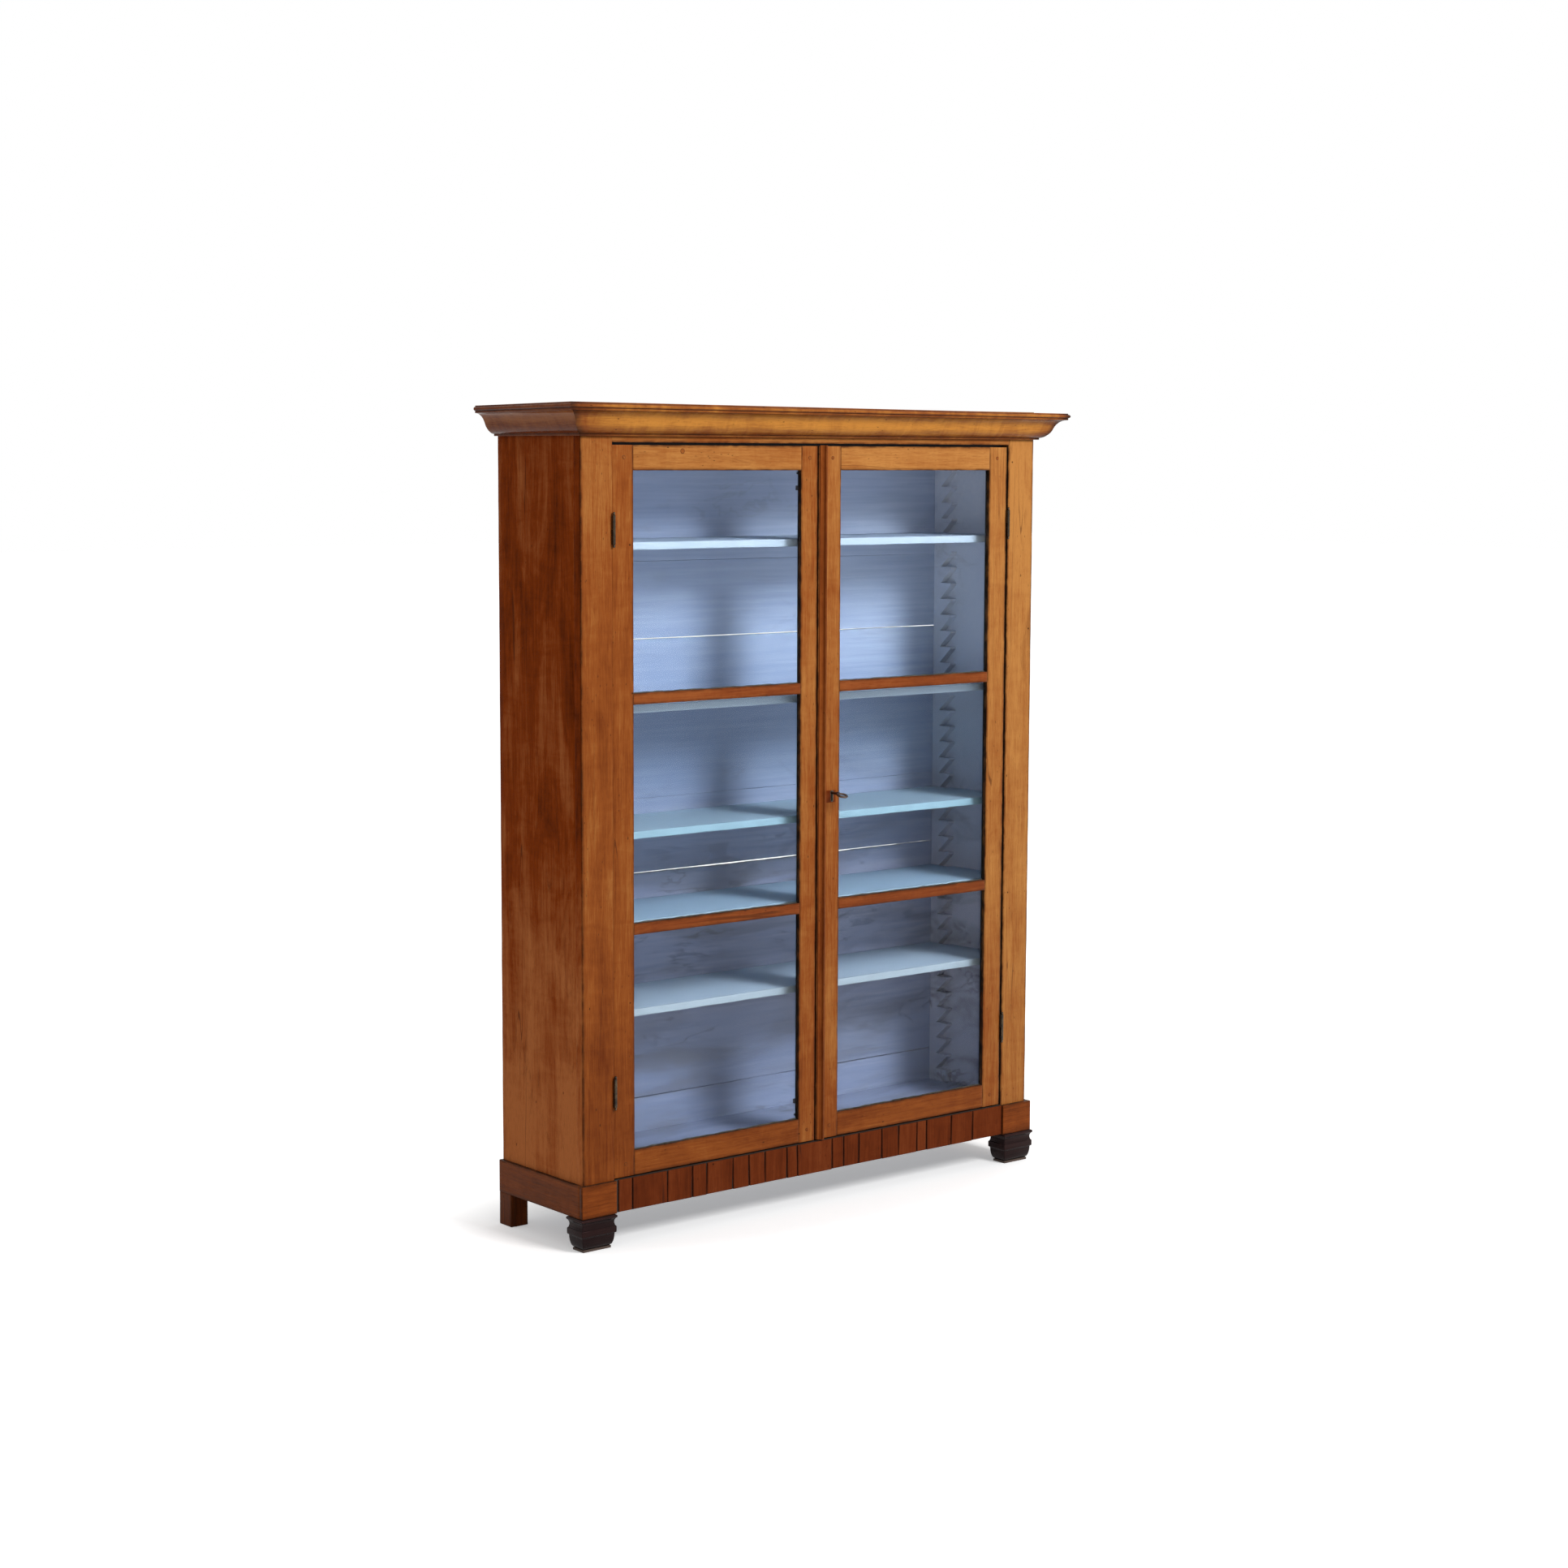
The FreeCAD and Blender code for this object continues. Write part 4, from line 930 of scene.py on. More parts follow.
@dataclass(frozen=True)
class Paint(Finish):
    """Old brushed paint on boards: strokes along X, rubbed and stained, with a second colour where marked.

    Attributes:
        base: main colour.
        pale: colour of rubbed strokes.
        stain: colour of grime.
        trim: colour on marked faces.
        dirt: amount of grime.
        shaded_and_stained: whether it takes painted shade below the upper panes, painted light towards the right, and
            stains low down.
        light_to_right: how much the painted light brightens the right end.
        smear: colour of the broad smears low down.
        tide: colour of the rims that damp has left.
        blotch: colour of the small blotches.
    """

    base: Colour = (0.3, 0.375, 0.56)
    pale: Colour = (0.43, 0.51, 0.68)
    stain: Colour = (0.12, 0.12, 0.15)
    trim: Colour = (0.62, 0.7, 0.76)
    dirt: float = 0.25
    shaded_and_stained: bool = True
    light_to_right: Colour = (1.2, 1.16, 1.1)
    smear: Colour = (0.085, 0.085, 0.1)
    tide: Colour = (0.05, 0.045, 0.05)
    blotch: Colour = (0.06, 0.06, 0.075)

    def make(self) -> bpy.types.Material:
        """Wire the finish's nodes.

        Returns:
            The material.
        """
        b = Board(self.name)
        place = b.place()
        stroke = b.noise(place, (3, 90, 110), 4, 0.65)
        cloud = b.noise(place, (2.5, 5, 5), 4, 0.6)
        fine = b.noise(place, (12, 300, 420), 2)
        colour = b.mix(b.between(b.sum(0.5, (stroke, 0.8), (cloud, 0.7)), 0.25, 0.85), self.base, self.pale)
        grime = b.between(b.noise(place, (4, 9, 11), 6, 0.65, 0.8), 0.58, 0.78)
        colour = b.tint(colour, self.stain, grime, self.dirt)
        colour = b.tint(colour, self.stain, b.dots(place, 30, 0.06, 0.08), 0.5)
        trimmed = b.tint(self.trim, self.stain, grime, self.dirt * 0.8)
        colour = b.mix(b.attribute("mark"), colour, trimmed)
        if self.shaded_and_stained:
            colour = self.shade_and_stain(b, place, colour)
        return b.principled(
            Base_Color=colour,
            Roughness=b.sum(0.6, (stroke, 0.2), (cloud, 0.1)),
            Normal=b.bump(b.sum(0.5, (stroke, 0.6), (fine, 0.4)), 0.1, 0.2 * MM),
        )

    def shade_and_stain(self, b: Board, place: bpy.types.NodeSocket, colour: bpy.types.NodeSocket) -> bpy.types.NodeSocket:
        """Darken the paint with height and stain it low down.

        Args:
            b: the material's nodes.
            place: object coordinates.
            colour: the clean paint.

        Returns:
            The colour with painted shade, painted light and stains.
        """
        axes = b.add("SeparateXYZ", Vector=place).outputs
        height = axes["Z"]
        # Painted light: brighter towards the right.
        colour = b.mix(b.between(axes["X"], -0.1, 0.5), colour, self.light_to_right, "MULTIPLY")
        # Painted shade by height.
        painted_shade = b.ramp(b.math("MULTIPLY", height, 1 / PAINTED_SHADE_TOP), *((z / PAINTED_SHADE_TOP, shade) for z, shade in PAINTED_SHADE_BY_HEIGHT))
        colour = b.mix(1.0, colour, painted_shade, "MULTIPLY")
        low = b.less(b.between(height, 0.55, 1.05))
        smear = b.between(b.noise(place, (2.2, 6, 13), 5, 0.62, 0.6), 0.42, 0.68)
        colour = b.tint(colour, self.smear, b.product(smear, low), 0.55)
        tide = b.contour(b.noise(place, (5, 9, 16), 5, 0.6, 0.5), 0.006, 0.022)
        damp = b.between(b.noise(place, (3.5, 5, 6), 2), 0.52, 0.62)
        tide = b.product(tide, damp, b.math("MULTIPLY_ADD", low, 0.7, 0.3))
        colour = b.tint(colour, self.tide, tide, 0.4)
        blotch = b.between(b.noise(place, (9, 14, 24), 6, 0.7, 0.6), 0.53, 0.58)
        patch = b.between(b.noise(place, (2.5, 4, 5), 2), 0.46, 0.58)
        return b.tint(colour, self.blotch, b.product(blotch, patch, low), 0.4)


@dataclass(frozen=True)
class Metal(Finish):
    """Old metal with darkened hollows and rubbed high spots.

    Attributes:
        clean: colour where it is rubbed.
        aged: colour of the tarnish.
        roughness: mean roughness.
    """

    clean: Colour = (0.45, 0.32, 0.14)
    aged: Colour = (0.07, 0.05, 0.03)
    roughness: float = 0.42

    def make(self) -> bpy.types.Material:
        """Wire the finish's nodes.

        Returns:
            The material.
        """
        b = Board(self.name)
        place = b.place()
        patch = b.noise(place, (70, 70, 50), 4, 0.6)
        fine = b.noise(place, (900, 900, 500), 2)
        tarnish = b.between(b.sum(0.5, (patch, 1.0), (fine, 0.4)), 0.25, 0.75)
        return b.principled(
            Base_Color=b.mix(tarnish, self.clean, self.aged),
            Metallic=b.math("MULTIPLY_ADD", tarnish, -0.35, 0.95),
            Roughness=b.sum(self.roughness, (tarnish, 0.25), (fine, 0.1)),
            Normal=b.bump(fine, 0.1, 0.05 * MM),
        )


@dataclass(frozen=True)
class Plain(Finish):
    """Rough unpolished stuff, such as bare softwood or set putty: one colour broken by grain and dust.

    Attributes:
        base: main colour.
        other: colour of streaks.
        rim: colour of the edges.
        stretch: cells per metre along each axis.
        roughness: mean roughness.
    """

    base: Colour = (0.3, 0.19, 0.1)
    other: Colour = (0.18, 0.11, 0.06)
    rim: Colour = (0.03, 0.02, 0.012)
    stretch: Triple = (5, 60, 60)
    roughness: float = 0.75

    def make(self) -> bpy.types.Material:
        """Wire the finish's nodes.

        Returns:
            The material.
        """
        b = Board(self.name)
        place = b.place()
        streak = b.noise(place, self.stretch, 5, 0.65)
        cloud = b.noise(place, (7, 7, 7), 3)
        shade = b.sum(0.5, (streak, 1.0), (cloud, 0.4), (b.attribute("tone"), 0.7))
        colour = b.mix(b.between(shade, 0.25, 0.75), self.base, self.other)
        colour = b.tint(colour, self.rim, b.attribute("wear"), 0.8)
        return b.principled(
            Base_Color=colour,
            Roughness=b.sum(self.roughness, (cloud, 0.2)),
            Normal=b.bump(streak, 0.3, 0.3 * MM),
        )


@dataclass(frozen=True)
class Glass(Finish):
    """Clear old window glass that lets lamp light through.

    Attributes:
        tint: colour of the glass.
        shadow: colour of the light behind it.
        bend: index of refraction, kept low because the panes are thin.
    """

    tint: Colour = (0.97, 0.985, 0.985)
    shadow: Colour = (0.95, 0.96, 0.96)
    bend: float = 1.12

    def make(self) -> bpy.types.Material:
        """Wire the finish's nodes.

        Returns:
            The material.
        """
        b = Board(self.name)
        pane = b.add("BsdfPrincipled", Base_Color=self.tint, Roughness=0.0, IOR=self.bend, Transmission_Weight=1.0)
        clear = b.add("BsdfTransparent", Color=self.shadow)
        choice = b.add("MixShader", Fac=b.add("LightPath").outputs["Is Shadow Ray"])
        b.put(choice.inputs[1], pane.outputs[0])
        b.put(choice.inputs[2], clear.outputs[0])
        b.put(b.end.inputs["Surface"], choice.outputs[0])
        return b.made


CASE_WOOD = Wood("case_mahogany")
SIDE_WOOD = Wood("side_mahogany", dark=(0.11, 0.016, 0.002), mid=(0.37, 0.061, 0.006), light=(0.67, 0.21, 0.062),
                 mottle=0.3, streak=0.7, fine=0.3, smudge=0.6, cloud=1.3, height_light=0.0, dents=0.02, flecks=0.3,
                 gloss=0.008)
DOOR_WOOD = Wood("door_mahogany")
BAR_WOOD = Wood("bar_mahogany", dark=(0.1, 0.016, 0.005), mid=(0.24, 0.055, 0.014), light=(0.4, 0.12, 0.03))
CORNICE_WOOD = Wood("cornice_mahogany", dark=(0.1, 0.02, 0.006), mid=(0.29, 0.08, 0.017),
                    light=(0.64, 0.26, 0.045), mottle=0.5, dents=0.06, flecks=0.9, roughness=0.34)
FLANK_WOOD = Wood("cornice_flank_mahogany", dark=(0.09, 0.014, 0.003), mid=(0.26, 0.055, 0.01),
                  light=(0.5, 0.17, 0.05), mottle=0.6, gloss=0.065, roughness=0.26, sheen_tint=(1.0, 0.75, 0.5))
PLINTH_WOOD = Wood("plinth_mahogany", dark=(0.06, 0.012, 0.004), mid=(0.25, 0.058, 0.012),
                   light=(0.42, 0.12, 0.026), roughness=0.42, gloss=0.06)
STAVE_WOOD = Wood("stave_veneer", dark=(0.06, 0.012, 0.005), mid=(0.16, 0.032, 0.009), light=(0.26, 0.066, 0.02),
                  streak=0.4, roughness=0.45, dents=0.08, arris=(0.05, 0.017, 0.01), gloss=0.012)
FOOT_WOOD = Wood("ebonised_foot", dark=(0.004, 0.0025, 0.002), mid=(0.017, 0.009, 0.009),
                 light=(0.04, 0.022, 0.02), arris=(0.04, 0.014, 0.012), roughness=0.3,
                 sheen_tint=(1.0, 0.6, 0.6), dents=0.06)
BARE_WOOD = Plain("bare_softwood")
SOLE_WOOD = Plain("sole_wood", base=(0.08, 0.05, 0.038), other=(0.025, 0.017, 0.014))
# Near black core: painted shade, so that the gap between the doors and the apron reads dark.
CORE_WOOD = Plain("dark_core", base=(0.03, 0.018, 0.012), other=(0.015, 0.01, 0.008))
BLUE_PAINT = Paint("old_blue_paint")
# Lighter copy of the blue paint for the side walls, racks and bearers: painted light, as light from the left front
# falls on them.
LIT_WALL_PAINT = Paint("side_blue_paint", base=(0.58, 0.63, 0.75), pale=(0.66, 0.7, 0.8))
BRASS = Metal("old_brass", clean=(0.09, 0.062, 0.035), aged=(0.01, 0.008, 0.006), roughness=0.3)
LINER_BRASS = Metal("liner_brass", clean=(0.2, 0.18, 0.13), aged=(0.022, 0.018, 0.014))
KEY_IRON = Metal("key_iron", clean=(0.13, 0.085, 0.065), aged=(0.03, 0.018, 0.014), roughness=0.36)
STEEL = Metal("old_steel", clean=(0.22, 0.19, 0.17), aged=(0.07, 0.055, 0.047), roughness=0.45)
PUTTY = Plain("dark_putty", base=(0.05, 0.045, 0.035), other=(0.025, 0.022, 0.018), stretch=(40, 40, 40))
GRIME = Plain("pane_grime", base=(0.16, 0.15, 0.11), other=(0.04, 0.04, 0.03), stretch=(70, 70, 200))
GLASS = Glass("window_glass")


# Sub-assemblies

# Shares of the rounding: arris in a tight joint, against another board, at a rebate's lip and behind the glass
TIGHT, HIDDEN, LIP, REAR = 0.12, 0.15, 0.3, 0.5

# Moulding of the cornice in mm, out and up: foot, wave, fillet under the bead, and top
CORNICE_FOOT: Table = ((0, 0), (8.4, 0), (9, 0.6), (9, 3.6))
CORNICE_WAVE: Table = (
    (9.8, 4), (13, 4.9), (16.5, 6.5), (20, 8.9), (23.2, 11.9), (26, 15), (28.4, 18.4), (30.3, 22.3), (32, 27),
    (34, 31.6), (36.4, 36), (39.4, 39.9), (43, 43.2), (47, 45.6), (51, 46.9),
)
CORNICE_FILLET: Table = ((54.8, 47.3), (55.7, 47.6), (56, 48.2), (56, 50.8), (55.8, 51.8))
CORNICE_TOP: Table = ((55.6, 60.6), (55.6, 62.4), (55, 63), (0, 63))

# Shade and dirt of the moulding at each height in mm, and at each distance in mm from a front mitre. The shades are
# painted light: highlight and sheen bands and shading across the profile. The dirt is dirt and painted shade in the
# quirks. The moulding darkens towards each front mitre.
FRONT_SHADE: Table = (
    (0, 0.36), (3.6, 0.3), (5, 0.4), (9, 0.5), (14, 0.62), (24, 0.74), (36, 0.7), (43, 0.6), (46.5, 0.5),
    (47.5, 0.3), (49.5, 0.5), (51.8, 0.2), (54, 0.42), (56, 0.5), (59, 0.4), (60.5, 0.25), (63, 0.3),
)
FLANK_SHADE: Table = (
    (0, 0.4), (3.6, 0.35), (5, 0.28), (10, 0.36), (20, 0.42), (28, 0.64), (34, 0.84), (38, 0.68), (44, 0.72),
    (47, 0.6), (48.5, 0.4), (51, 0.36), (52, 0.16), (56, 0.42), (63, 0.32),
)
CORNICE_DIRT_AND_SHADE: Table = (
    (0, 0.4), (0.5, 0), (3, 0.2), (4.2, 0.8), (6, 0), (45, 0), (47, 0.5), (48.4, 0), (50.5, 0), (51.8, 0.9),
    (53.5, 0), (58.5, 0), (60.4, 0.6), (61.5, 0),
)
MITRE_SHADE: Table = ((0, 0.4), (30, 0.22), (130, 0.0))
MITRE_DIRT: Table = ((0, 0.75), (18, 0.0))
RIGHT_MITRE = 3.0

# Shade of a side board at each height, painted light that makes it much lighter low down, and how much darker the
# outer edge of a pilaster is
SIDE_SHADE: Table = ((0.14, 0.88), (0.35, 0.82), (0.6, 0.61), (0.9, 0.47), (1.75, 0.4))
EDGE_SHADE: Table = ((0.5, 0.02), (0.9, 0.14))


def corners_of(node: str) -> tuple[np.ndarray, np.ndarray]:
    """Lowest and highest corner of a solid, as arrays."""
    low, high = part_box(node)
    return np.array(low), np.array(high)


@dataclass
class Carcass:
    """Case of the bookcase: sides, pilasters, frieze, back, cornice, plinth and feet.

    Attributes:
        rebate: width of the side board's rebate for the back.
        back_thickness: depth of that rebate.
        leaf_stand: how far hinge leaves stand out of the wood.
        body: the body that all of it rides on.
        board_joints: heights of the joints between the back boards, in mm.
        board_gaps: how far each of them is open, in mm.
        board_wave: slow waver of each board's upper edge, in mm.
        board_rag: quick waver of each board's upper edge, in mm.
        closing: place along X and rise, in mm, of the edge that closes its joint towards the right.
        closing_board: number of the board with that edge.
        stave_joints: places of the joints between the veneer staves, in mm.
        stave_gap: share of a joint that each stave gives.
        block_gap: joint beside the left block.
        foot_reach: how far the foot's moulding stands out.
        foot_height: height of the foot's moulding, in mm.
    """

    rebate: float = 14 * MM
    back_thickness: float = 15 * MM
    leaf_stand: float = 0.2 * MM
    body: str = "carcass"
    board_joints: tuple[float, ...] = (229.5, 482.25, 736.75, 903.5, 1256.5, 1427.5)
    board_gaps: tuple[float, ...] = (1.8, 0.5, 4.2, 0.5, 2.6, 0.5)
    board_wave: tuple[float, ...] = (1.5, 0.15, 0.9, 0.15, 0.9, 0.15, 0.15)
    board_rag: tuple[float, ...] = (0.6, 0.1, 0.6, 0.1, 0.1, 0.1, 0.1)
    closing: Table = ((0.3, 0.0), (0.58, 1.5))
    closing_board: int = 2
    stave_joints: tuple[float, ...] = (-561, -517, -424, -357, -318, -246, -201, -156, -94, -64, 37, 71, 116, 185,
                                       236, 292, 322, 399, 467, 561)
    stave_gap: float = 1.4 * MM
    block_gap: float = 8.5 * MM
    foot_reach: float = 6.5 * MM
    foot_height: float = 72.0

    def build(self) -> None:
        """Make and dress every part of the case."""
        for hand in Hand:
            self.side(hand)
            self.pilaster(hand)
            self.plinth(hand)
            self.foot(hand)
        self.frieze()
        self.back()
        self.apron()
        self.cornice()
        self.solids()

    def side(self, hand: Hand) -> None:
        """A side board, rebated behind for the back boards.

        Args:
            hand: which side board.
        """
        node = f"{hand.word}_side"
        low, high = corners_of(node)
        front = corners_of(f"{hand.word}_pilaster")[1][1]
        outer, inner = (low[0], high[0]) if hand is Hand.LEFT else (high[0], low[0])
        lip = inner + hand.value * self.rebate
        shoulder = high[1] - self.back_thickness
        section = [
            Corner(outer, front, HIDDEN),
            Corner(inner, front, HIDDEN),
            Corner(inner, shoulder),
            Corner(lip, shoulder),
            Corner(lip, high[1], 0.4),
            Corner(outer, high[1], 1.2),
        ]
        if hand is Hand.RIGHT:
            section.reverse()
        member = Member(Axis.Z, section, (low[2], high[2]), seed=Seed.SIDE + hand.value, support=20 * MM)
        shell = member.shell()
        shell.wear *= np.where(shell.verts[:, 1] < front + 1 * MM, 0.0, 0.4)
        # Painted light: the side board lighter low down.
        shell.tone = read_off(shell.verts[:, 2], SIDE_SHADE)
        shell.line(Axis.X, inner)
        make_piece(f"{hand.word}_side_board", [shell], SIDE_WOOD, self.body, [node], LIT_WALL_PAINT)

    def pilaster(self, hand: Hand) -> None:
        """A front stile of the case, its outer edge as dark as the side board.

        Args:
            hand: which front stile.
        """
        node = f"{hand.word}_pilaster"
        low, high = corners_of(node)
        if hand is Hand.RIGHT:
            low[0] += self.leaf_stand
        section = box_section((low[0], high[0]), (low[1], high[1]))
        front, joint = low[1], high[0] if hand is Hand.LEFT else None
        section = [Corner(c.u, c.v, HIDDEN if c.v > front else TIGHT if c.u == joint else 1.0) for c in section]
        member = Member(Axis.Z, section, (low[2], high[2]), seed=Seed.PILASTER + hand.value, radius=1.3 * MM)
        shell = member.shell()
        outer = low[0] if hand is Hand.LEFT else high[0]
        height = shell.verts[:, 2]
        shell.wear[shell.verts[:, 1] > high[1] - 1 * MM] = 0.0
        if hand is Hand.LEFT:
            shell.wear[shell.verts[:, 0] > joint - 1 * MM] = 0.2
        # Painted light: the outer edge takes the side board's painted light; the front is lighter on the right
        # pilaster than the left, and near the top.
        edge_shade = read_off(height, SIDE_SHADE) - read_off(height, EDGE_SHADE)
        front_shade = 0.55 + 0.15 * hand.value
        front_shade = front_shade + read_off(height, ((0.14, -0.03 * hand.value), (1.2, 0.0), (1.7, 0.08)))
        shell.tone = np.where(np.abs(shell.verts[:, 0] - outer) < IN_PLANE, edge_shade, front_shade)
        if hand is Hand.RIGHT:
            shell.darken_planes(Axis.X, low[0])
        shell.line(Axis.X, outer)
        make_piece(f"{hand.word}_front_stile", [shell], CASE_WOOD, self.body, [node], SIDE_WOOD)

    def frieze(self) -> None:
        """The rail over the doors, between the pilasters."""
        low, high = corners_of("frieze_rail")
        inner = corners_of("left_pilaster")[1][0]
        section = box_section((low[1], high[1]), (low[2], high[2]))
        member = Member(Axis.X, section, (inner, -inner), seed=Seed.FRIEZE, tone=0.55, end_radius=0.2 * MM)
        shell = member.shell().darken_planes(Axis.Z, low[2])
        make_piece("frieze", [shell], CASE_WOOD, self.body, ["frieze_rail"])

    def back(self) -> None:
        """Boards laid crosswise, with edges that waver so that the open joints let light through unevenly."""
        low, high = corners_of("back_boards")
        joints, gaps = np.array(self.board_joints) * MM, np.array(self.board_gaps) * MM
        bottoms = np.concatenate([[low[2]], joints + gaps / 2])
        tops = np.concatenate([joints - gaps / 2, [high[2]]])
        shells = []
        for index, (bottom, top) in enumerate(zip(bottoms, tops)):
            section = box_section((low[1], high[1]), (bottom, top))
            member = Member(Axis.X, section, (low[0], high[0]), seed=Seed.BACK_BOARD + index, radius=0.5 * MM,
                            tone=0.2 + 0.1 * (index * 3 % 7), spacing=5 * MM, support=2.5 * MM)
            shell = member.shell()
            along = shell.verts[:, 0]
            rise = wobble(along, Seed.BOARD_WAVE + index, 0.35) * self.board_wave[index]
            rise += wobble(along, Seed.BOARD_EDGE + index, 0.05) * self.board_rag[index]
            if index == self.closing_board:
                rise += read_off(along, self.closing)
            upper = shell.verts[:, 2] > (bottom + top) / 2
            shell.verts[:, 2] += np.where(upper, rise * MM, 0.0)
            shell.line(Axis.Y, high[1])
            shells.append(shell)
        make_piece("back_panel", shells, BLUE_PAINT, self.body, ["back_boards"], BARE_WOOD)

    def apron(self) -> None:
        """Upright veneer staves under the doors, uneven in width, tone and lean."""
        low, high = corners_of("apron_staves")
        joints = np.array(self.stave_joints) * MM
        rng = np.random.default_rng(Seed.STAVE_CUT)
        shells = []
        for index, (left, right) in enumerate(zip(joints, joints[1:])):
            recess = rng.uniform(0.0, 0.7) * MM
            lean = rng.uniform(-0.03, 0.03) if 0 < index < len(joints) - 2 else 0.0
            chip = rng.uniform(0.0, 1.2) * MM
            joint = self.block_gap if index == 0 else self.stave_gap
            section = box_section((left + joint, right - self.stave_gap), (low[1] + recess, high[1]))
            member = Member(Axis.Z, section, (low[2] + chip, high[2] - 0.3 * MM), seed=Seed.STAVE + index, lean=lean,
                            tone=rng.uniform(0.44, 0.6), radius=0.7 * MM, spacing=8 * MM, support=3 * MM)
            shells.append(member.shell())
        make_piece("apron_veneer", shells, STAVE_WOOD, self.body, ["apron_staves"])

    def cornice(self) -> None:
        """Front and side lengths of the moulding: fillet, wave, fillet, small bead and top fillet."""
        low, high = corners_of("cornice_front")
        front, half = high[1], corners_of("dust_board")[1][0]
        back = corners_of("cornice_left")[1][1]
        bead = arc((55.8, 56.2), 4.0, -75, 75, 9)
        profile = np.concatenate([CORNICE_FOOT, CORNICE_WAVE, CORNICE_FILLET, bead, CORNICE_TOP]) * MM
        rise = profile[:, 1] / MM
        # Painted light across the front's profile, and dirt with painted shade in its quirks.
        shade, dirt = read_off(rise, FRONT_SHADE), read_off(rise, CORNICE_DIRT_AND_SHADE)
        out, up = profile[:, 0], profile[:, 1] + low[2]
        run = half + out
        section = np.stack([front - out, up], 1)[::-1]
        shell = carried(Axis.X, section, -run[::-1], run[::-1], Seed.CORNICE, tone=shade[::-1], mark=dirt[::-1])
        x, y, _ = shell.verts.T
        mitre = (half + front - y - np.abs(x)) * np.where(x > 0, RIGHT_MITRE, 1.0) / MM
        shell.tone = shell.tone - read_off(mitre, MITRE_SHADE)
        shell.mark = np.maximum(shell.mark, read_off(mitre, MITRE_DIRT))
        self.settle(shell, low, high, back)
        make_piece("cornice_front_length", [shell], CORNICE_WOOD, self.body, ["cornice_front"])
        # Painted sheen bands across the side lengths.
        shade = read_off(rise, FLANK_SHADE)
        for hand in Hand:
            flank = np.stack([up, hand.value * run], 1)
            order = slice(None) if hand is Hand.LEFT else slice(None, None, -1)
            start = (front - out)[order]
            shell = carried(Axis.Y, flank[order], start, np.full(len(start), back), Seed.FLANK + hand.value,
                            tone=shade[order], mark=dirt[order])
            self.settle(shell, low, high, back)
            name = f"cornice_{hand.word}"
            make_piece(f"{name}_length", [shell], FLANK_WOOD, self.body, [name])

    def settle(self, shell: Shell, low: np.ndarray, high: np.ndarray, back: float) -> None:
        """Put a length of the moulding out of true, as it is after long use.

        With u from -1 at the left end to 1 at the right, v from 0 behind to 1 in front and w from 0 at the foot to 1
        at the top, a vertex rises by w * v * (0.7 - 3.8 u) mm, and the left side moves out by up to 6 mm * w * v.

        Args:
            shell: the length, changed in place.
            low: lowest corner of the front length.
            high: highest corner of the front length.
            back: where the side lengths end.
        """
        x, y, z = shell.verts.T
        share = (back - y) / (back - low[1]) * (z - low[2]) / (high[2] - low[2])
        across = x / high[0]
        shell.verts[:, 2] = z + share * (0.7 - 3.8 * across) * MM
        shell.verts[:, 0] = x + share * np.minimum(across, 0.0) * 6.0 * MM

    def plinth(self, hand: Hand) -> None:
        """Front block, side board with its back leg, and the post behind the leg.

        Args:
            hand: which side of the plinth.
        """
        block = f"{hand.word}_plinth_block"
        low, high = corners_of(block)
        member = Member(Axis.X, box_section((low[1], high[1]), (low[2], high[2])), (low[0], high[0]),
                        seed=Seed.PLINTH_BLOCK + hand.value, tone=0.44, end_radius=0.8 * MM, radius=1.2 * MM)
        shell = member.shell().darken_planes(Axis.Z, high[2])
        make_piece(f"{hand.word}_front_block", [shell], PLINTH_WOOD, self.body, [block])
        side = f"{hand.word}_plinth_side"
        board_low, board_high = corners_of(side)
        post = f"{hand.word}_back_post"
        post_low, post_high = corners_of(post)
        across = (board_low[0], board_high[0])
        section = [Corner(c.u, c.v, 1.0 if c.u > low[2] else 0.1) for c in box_section((low[2], high[2]), across)]
        board = Member(Axis.Y, section, (board_low[1], board_high[1]), seed=Seed.PLINTH_SIDE + hand.value,
                       tone=0.5, radius=1.2 * MM)
        leg = Member(Axis.Z, box_section(across, (post_low[1], board_high[1])), (board_low[2], low[2]),
                     seed=Seed.BACK_LEG + hand.value, tone=0.4, radius=1.5 * MM, end_radius=1.4 * MM)
        shells = [board.shell().darken_planes(Axis.Z, high[2]), leg.shell()]
        make_piece(f"{hand.word}_side_plinth", shells, PLINTH_WOOD, self.body, [side])
        inner = Member(Axis.Z, box_section((post_low[0], post_high[0]), (post_low[1], post_high[1])),
                       (post_low[2], post_high[2]), seed=Seed.LEG_POST + hand.value, tone=0.3)
        make_piece(f"{hand.word}_leg_post", [inner.shell()], PLINTH_WOOD, self.body, [post])

